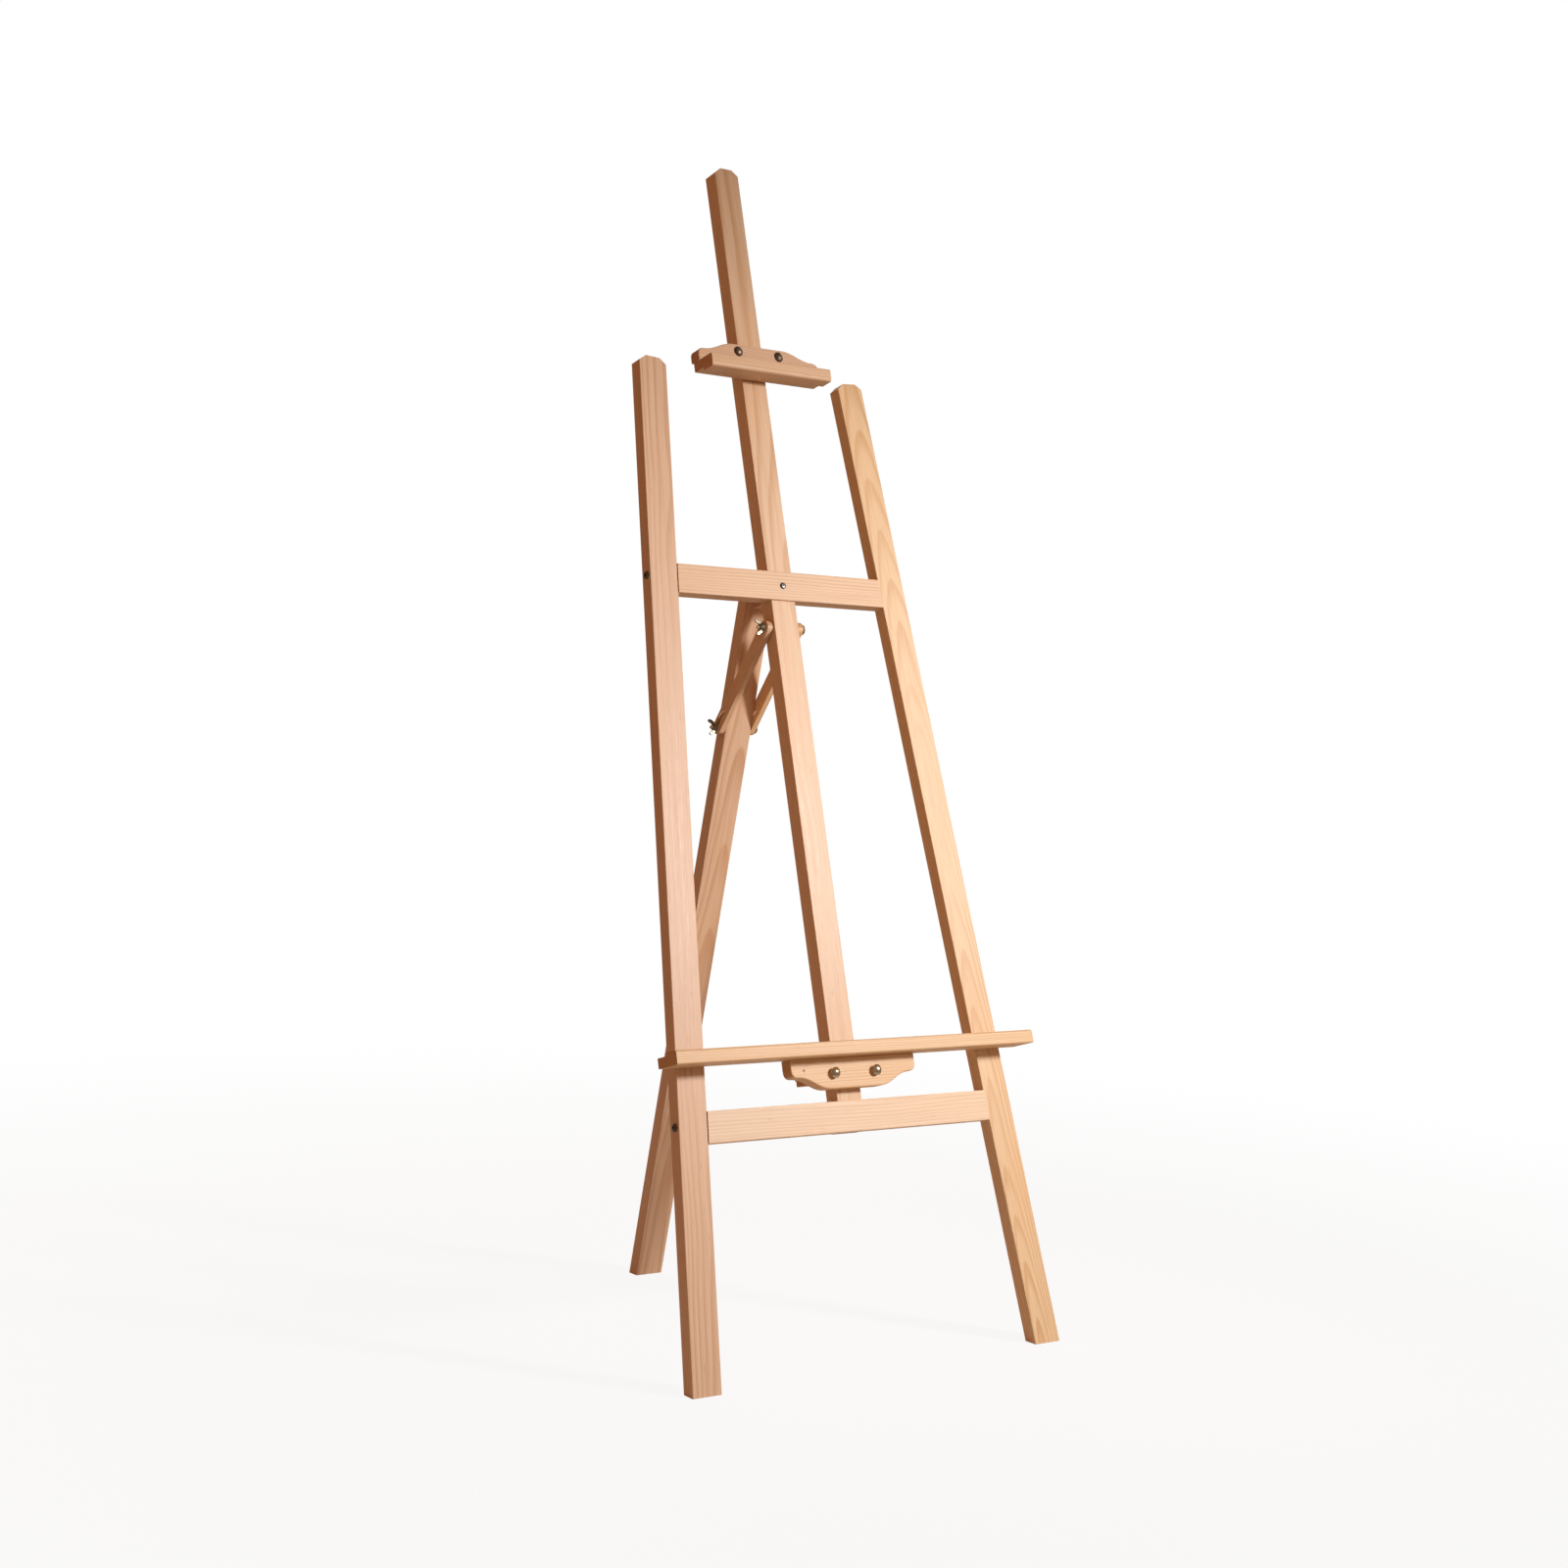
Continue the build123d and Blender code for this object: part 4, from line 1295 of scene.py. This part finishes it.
@dataclass
class WingNuts:
    """Forged wing nuts, one on every clamping bolt."""

    base_radius: float = 6.2 * MM
    top_radius: float = 4.9 * MM
    bore: float = 3.25 * MM
    height: float = 7.0 * MM
    wing_reach: float = 12.5 * MM
    wing_height: float = 13.8 * MM
    root_thickness: float = 3.0 * MM
    tip_thickness: float = 2.0 * MM
    curve_steps: int = 5  # points to each corner of a wing's outline
    voxel: float = 0.32 * MM
    easing: int = 5  # rounds of smoothing

    def blank(self) -> bpy.types.Mesh:
        """Melts the nut's body and wings into one forging, standing on XY with its wings along X.

        Returns:
            The forging's mesh.
        """
        bore, base, top, height = self.bore, self.base_radius, self.top_radius, self.height
        body = Turning(48).profile((bore, 0.3 * MM), (bore + 0.4 * MM, 0), (base - 0.4 * MM, 0))
        body.profile((base, 0.5 * MM), (base, height * 0.28), (top, height - 0.5 * MM))
        body.profile((top - 0.5 * MM, height), (bore + 0.3 * MM, height), (bore, height - 0.4 * MM))
        graph = bmesh.new()
        graph.from_mesh(body.mesh("nut_body", hollow=True))
        for side in (1, -1):
            self._wing(graph, side)
        work = helper(to_mesh(graph, "wing_nut"))
        remesh = work.modifiers.new("melt", "REMESH")
        remesh.mode = "VOXEL"
        remesh.voxel_size = self.voxel
        ease = work.modifiers.new("ease", "SMOOTH")
        ease.factor = 0.5
        ease.iterations = self.easing
        melted = baked(work, "wing_nut")
        bpy.data.objects.remove(work)
        melted.shade_smooth()
        return melted

    def _wing(self, graph: bmesh.types.BMesh, side: int) -> None:
        """Adds one wing, thick at its root and thin at its rounded tip.

        Args:
            graph: The mesh in progress.
            side: 1 for +X and -1 for -X.
        """
        reach, rise = self.wing_reach, self.wing_height
        corners = [
            (self.top_radius * 0.84, self.height * 0.16),
            (self.base_radius * 1.10, self.height * 0.30),
            (reach * 0.84, rise * 0.40),
            (reach * 0.99, rise * 0.68),
            (reach * 0.99, rise * 0.88),
            (reach * 0.86, rise * 0.995),
            (reach * 0.68, rise * 0.93),
            (reach * 0.55, rise * 0.72),
            (self.top_radius * 0.95, self.height * 0.97),
            (self.top_radius * 0.84, self.height * 0.90),
        ]
        outline = closed_curve(corners, self.curve_steps)
        layers = []
        for face in (-0.5, 0.5):
            layer = []
            for x, z in outline:
                share = min(1.0, max(0.0, (x - self.top_radius) / (reach - self.top_radius)))
                thickness = self.root_thickness + (self.tip_thickness - self.root_thickness) * share
                layer.append(graph.verts.new((side * x, face * thickness, z)))
            layers.append(layer)
        front, back = layers
        faces = [graph.faces.new(front), graph.faces.new(back[::-1])]
        for index in range(len(outline)):
            after = (index + 1) % len(outline)
            faces.append(graph.faces.new((front[after], front[index], back[index], back[after])))
        bmesh.ops.recalc_face_normals(graph, faces=faces)

    def fit(self) -> None:
        """Puts a nut on each bolt, as a piece of its own."""
        blank = self.blank()
        for record in frame["joints"]:
            if not record.get("continuous"):
                continue
            body = record["child"]
            side = LEAN_UP if "strut" in body else RIGHT
            seat = Seat(Vector(record["pos_m"]), Vector(record["axis"]), side)
            mesh = blank.copy()
            mesh.transform(seat.matrix())
            # the wing nuts' dark zinc is painted shade
            add_piece(f"{body}_forged", mesh, body, SHADED_CAST_ZINC, body)
            log.info("wing nut %s", body)


def closed_curve(corners: Outline, steps: int) -> Outline:
    """Rounds a closed outline through its corners.

    Args:
        corners: Points that the outline passes.
        steps: Points to each corner.

    Returns:
        The rounded outline.
    """
    points = [Vector(corner) for corner in corners]
    count, rounded = len(points), []
    for index in range(count):
        before, start, end, after = (points[(index + shift) % count] for shift in (-1, 0, 1, 2))
        for step in range(steps):
            t = step / steps
            place = 0.5 * (
                2 * start
                + (end - before) * t
                + (2 * before - 5 * start + 4 * end - after) * t * t
                + (3 * start - before - 3 * end + after) * t**3
            )
            rounded.append(tuple(place))
    return rounded


# ---------------------------------------------------------------- sub-assemblies


def crosswise(node: str, pine: Pine) -> Timber:
    """A timber that lies across the easel."""
    return Timber(node, pine, RIGHT, LEAN_UP)


def strut(node: str, pine: Pine) -> Timber:
    """A timber whose width lies fore and aft."""
    return Timber(node, pine, None, LEAN_BACK)


@dataclass(frozen=True)
class Joinery:
    """A sub-assembly: its timbers, and the steel parts of a hinge where it has one."""

    timbers: tuple[Timber, ...]
    hinge_parts: tuple[str, ...] = ()

    def dress(self) -> None:
        """Gives each timber its own board of pine and each part of a hinge its zinc."""
        for timber in self.timbers:
            timber.finish()
        for node in self.hinge_parts:
            piece = frame["nodes"][node]
            dress(piece, BRIGHT_ZINC.material())
            log.info("hinge piece %s", node)


@dataclass(frozen=True)
class FrontFrame(Joinery):
    """The leaning frame: two splayed legs, two crossbars and the mast."""

    timbers: tuple[Timber, ...] = (
        Timber("left_leg", Pine(PineTone.ROSE, (0.030, 0.075), (0.004, 0.0), seed=1.3)),
        Timber("right_leg", Pine(PineTone.HONEY, (-0.004, 0.040), (0.010, 0.034), ring_depth=1.1, seed=5.1)),
        Timber("mast", Pine(PineTone.PEACH, (0.018, 0.090), (0.003, 0.006), 4.4 * MM, seed=8.7)),
        crosswise("upper_crossbar", Pine(PineTone.PEACH, (0.060, 0.055), seed=12.9)),
        crosswise("lower_crossbar", Pine(PineTone.CREAM, (0.050, 0.070), seed=17.4)),
        crosswise("hinge_block", Pine(PineTone.ROSE, (0.045, 0.030), seed=21.2)),
    )


@dataclass(frozen=True)
class RearSupport(Joinery):
    """The hinged rear leg, its two struts and the hinge."""

    timbers: tuple[Timber, ...] = (
        Timber("rear_leg", Pine(PineTone.ROSE, (0.010, 0.055), (0.008, 0.020), 4.0 * MM, seed=26.5)),
        strut("left_strut", Pine(PineTone.PEACH, (0.040, 0.030), seed=31.8)),
        strut("right_strut", Pine(PineTone.HONEY, (0.035, 0.045), seed=35.6)),
    )
    hinge_parts: tuple[str, ...] = ("hinge_frame_leaf", "hinge_leg_leaf", "hinge_pin")


PLATE_KNOT = Knot(across=0.006, along=-0.091, radius=2.4 * MM)


@dataclass(frozen=True)
class CanvasClamps(Joinery):
    """The canvas shelf and the top clamp that slide on the mast."""

    timbers: tuple[Timber, ...] = (
        crosswise("canvas_shelf", Pine(PineTone.HONEY, (0.070, 0.040), seed=40.3)),
        crosswise("top_bar", Pine(PineTone.PEACH, (0.045, 0.060), seed=44.7)),
        crosswise("shelf_plate", Pine(PineTone.HONEY, (0.055, 0.045), seed=49.9, knots=(PLATE_KNOT,))),
        crosswise("top_plate", Pine(PineTone.ROSE, (-0.050, 0.050), seed=53.2)),
        crosswise("shelf_rear_block", Pine(PineTone.PEACH, (0.030, 0.060), seed=58.6)),
        crosswise("top_rear_block", Pine(PineTone.CREAM, (0.040, 0.050), seed=62.1)),
    )


# ---------------------------------------------------------------- studio


WHITE_LIGHT = {"Color": (1, 1, 1, 1), "Strength": 1.0}


@dataclass(frozen=True)
class Lamp:
    """A studio light that looks at a point."""

    name: str
    place: Place
    target: Place
    size: float  # side of a soft box, radius of a spot's lamp
    power: float
    colour: Colour
    cone: Optional[float] = None  # a spot's, in degrees; a soft box has none

    def switch_on(self) -> None:
        """Adds the light to the scene."""
        if self.cone is None:
            data = bpy.data.lights.new(self.name, "AREA")
            data.shape = "SQUARE"
            data.size = self.size
        else:
            data = bpy.data.lights.new(self.name, "SPOT")
            data.shadow_soft_size = self.size
            data.spot_size = math.radians(self.cone)
            data.spot_blend = 1.0
        data.energy = self.power
        data.color = self.colour
        lamp = set_down(self.name, data)
        lamp.location = self.place
        lamp.rotation_euler = (Vector(self.target) - Vector(self.place)).to_track_quat("-Z", "Y").to_euler()
        log.info("light %s, %.0f W", self.name, self.power)


@dataclass
class Studio:
    """Pale floor, white surroundings, soft light and the camera."""

    floor_half: float = 60.0
    floor_tone: Colour = (0.70, 0.67, 0.64)
    floor_shade: float = 0.10  # how much of the floor's own shading is seen near the easel
    haze_start: float = 0.5
    haze_end: float = 3.0
    ambient_left: Colour = (0.52, 0.21, 0.085)
    ambient_right: Colour = (0.48, 0.36, 0.27)
    ambient_power: float = 0.68
    camera_place: Place = (-2.2316, -3.0019, 0.9602)
    camera_yaw: float = -36.67
    camera_pitch: float = -2.28
    camera_roll: float = 2.83
    focal_length: float = 57.01
    sensor_width: float = 36.0
    lamps: tuple[Lamp, ...] = (
        Lamp("key_light", (1.9, -2.6, 2.1), (0.12, -0.12, 0.70), 0.30, 455.0, (1.0, 0.99, 0.99), 48.0),
        Lamp("back_light", (1.3, 2.6, 2.3), (0.0, 0.1, 0.8), 1.6, 16.0, (1.0, 0.95, 0.90)),
    )

    def build(self) -> None:
        """Sets up everything round the easel."""
        self._floor()
        self._surroundings()
        for lamp in self.lamps:
            lamp.switch_on()
        self._camera()
        bpy.context.scene.view_settings.view_transform = "Standard"

    def _floor(self) -> None:
        """A flat pale floor that fades into the white surroundings."""
        mesh = bpy.data.meshes.new("studio_floor")
        half = self.floor_half
        corners = [(-half, -half, 0), (half, -half, 0), (half, half, 0), (-half, half, 0)]
        mesh.from_pydata(corners, [], [(0, 1, 2, 3)])
        floor = set_down("studio_floor", mesh)
        material, bench = new_material("floor_paint")
        place = bench.add("ShaderNodeTexCoord", None, None, "Object")
        x, y, _ = bench.split(place)
        seen = bench.add("ShaderNodeLightPath", None, None, "Is Camera Ray")
        near = x.hypot(y).step(self.haze_end, self.haze_start) * self.floor_shade
        white = seen * (1.0 - near)
        matt = {"Base Color": (*self.floor_tone, 1.0), "Roughness": 0.85}
        paint = bench.add("ShaderNodeBsdfPrincipled", None, matt)
        glow = bench.add("ShaderNodeEmission", None, WHITE_LIGHT)
        mixed = bench.add("ShaderNodeMixShader", None, {0: white, 1: paint, 2: glow})
        bench.place("ShaderNodeOutputMaterial", None, {"Surface": mixed})
        dress(floor, material)

    def _surroundings(self) -> None:
        """White to the eye, and on the easel a dimmer light that is warmest from the left."""
        world = bpy.data.worlds.new("studio")
        world.use_nodes = True
        world.node_tree.nodes.clear()
        bench = NodeBench(world.node_tree)
        seen = bench.add("ShaderNodeLightPath", None, None, "Is Camera Ray")
        x, y, _ = bench.split(bench.add("ShaderNodeTexCoord", None, None, "Generated"))
        tone = bench.mix((x - y * 0.5).step(-0.9, 0.5), self.ambient_left, self.ambient_right)
        ambient = bench.add("ShaderNodeBackground", None, {"Color": tone, "Strength": self.ambient_power})
        white = bench.add("ShaderNodeBackground", None, WHITE_LIGHT)
        mixed = bench.add("ShaderNodeMixShader", None, {0: seen, 1: ambient, 2: white})
        bench.place("ShaderNodeOutputWorld", None, {"Surface": mixed})
        bpy.context.scene.world = world

    def _camera(self) -> None:
        """The camera, turned by its yaw, pitch and roll."""
        data = bpy.data.cameras.new("camera")
        data.sensor_width = self.sensor_width
        data.lens = self.focal_length
        camera = set_down("camera", data)
        turn = (
            Matrix.Rotation(math.radians(self.camera_yaw), 4, "Z")
            @ Matrix.Rotation(math.radians(90 + self.camera_pitch), 4, "X")
            @ Matrix.Rotation(math.radians(self.camera_roll), 4, "Z")
        )
        camera.matrix_world = Matrix.Translation(self.camera_place) @ turn
        bpy.context.scene.camera = camera


def main() -> None:
    """Builds the easel's looks, sub-assembly by sub-assembly, and the studio round it."""
    Studio().build()
    FrontFrame().dress()
    RearSupport().dress()
    CanvasClamps().dress()
    Fasteners(SeatedCopies()).fit()
    WingNuts().fit()
    bpy.context.view_layer.update()


if __name__ == "__main__":
    main()
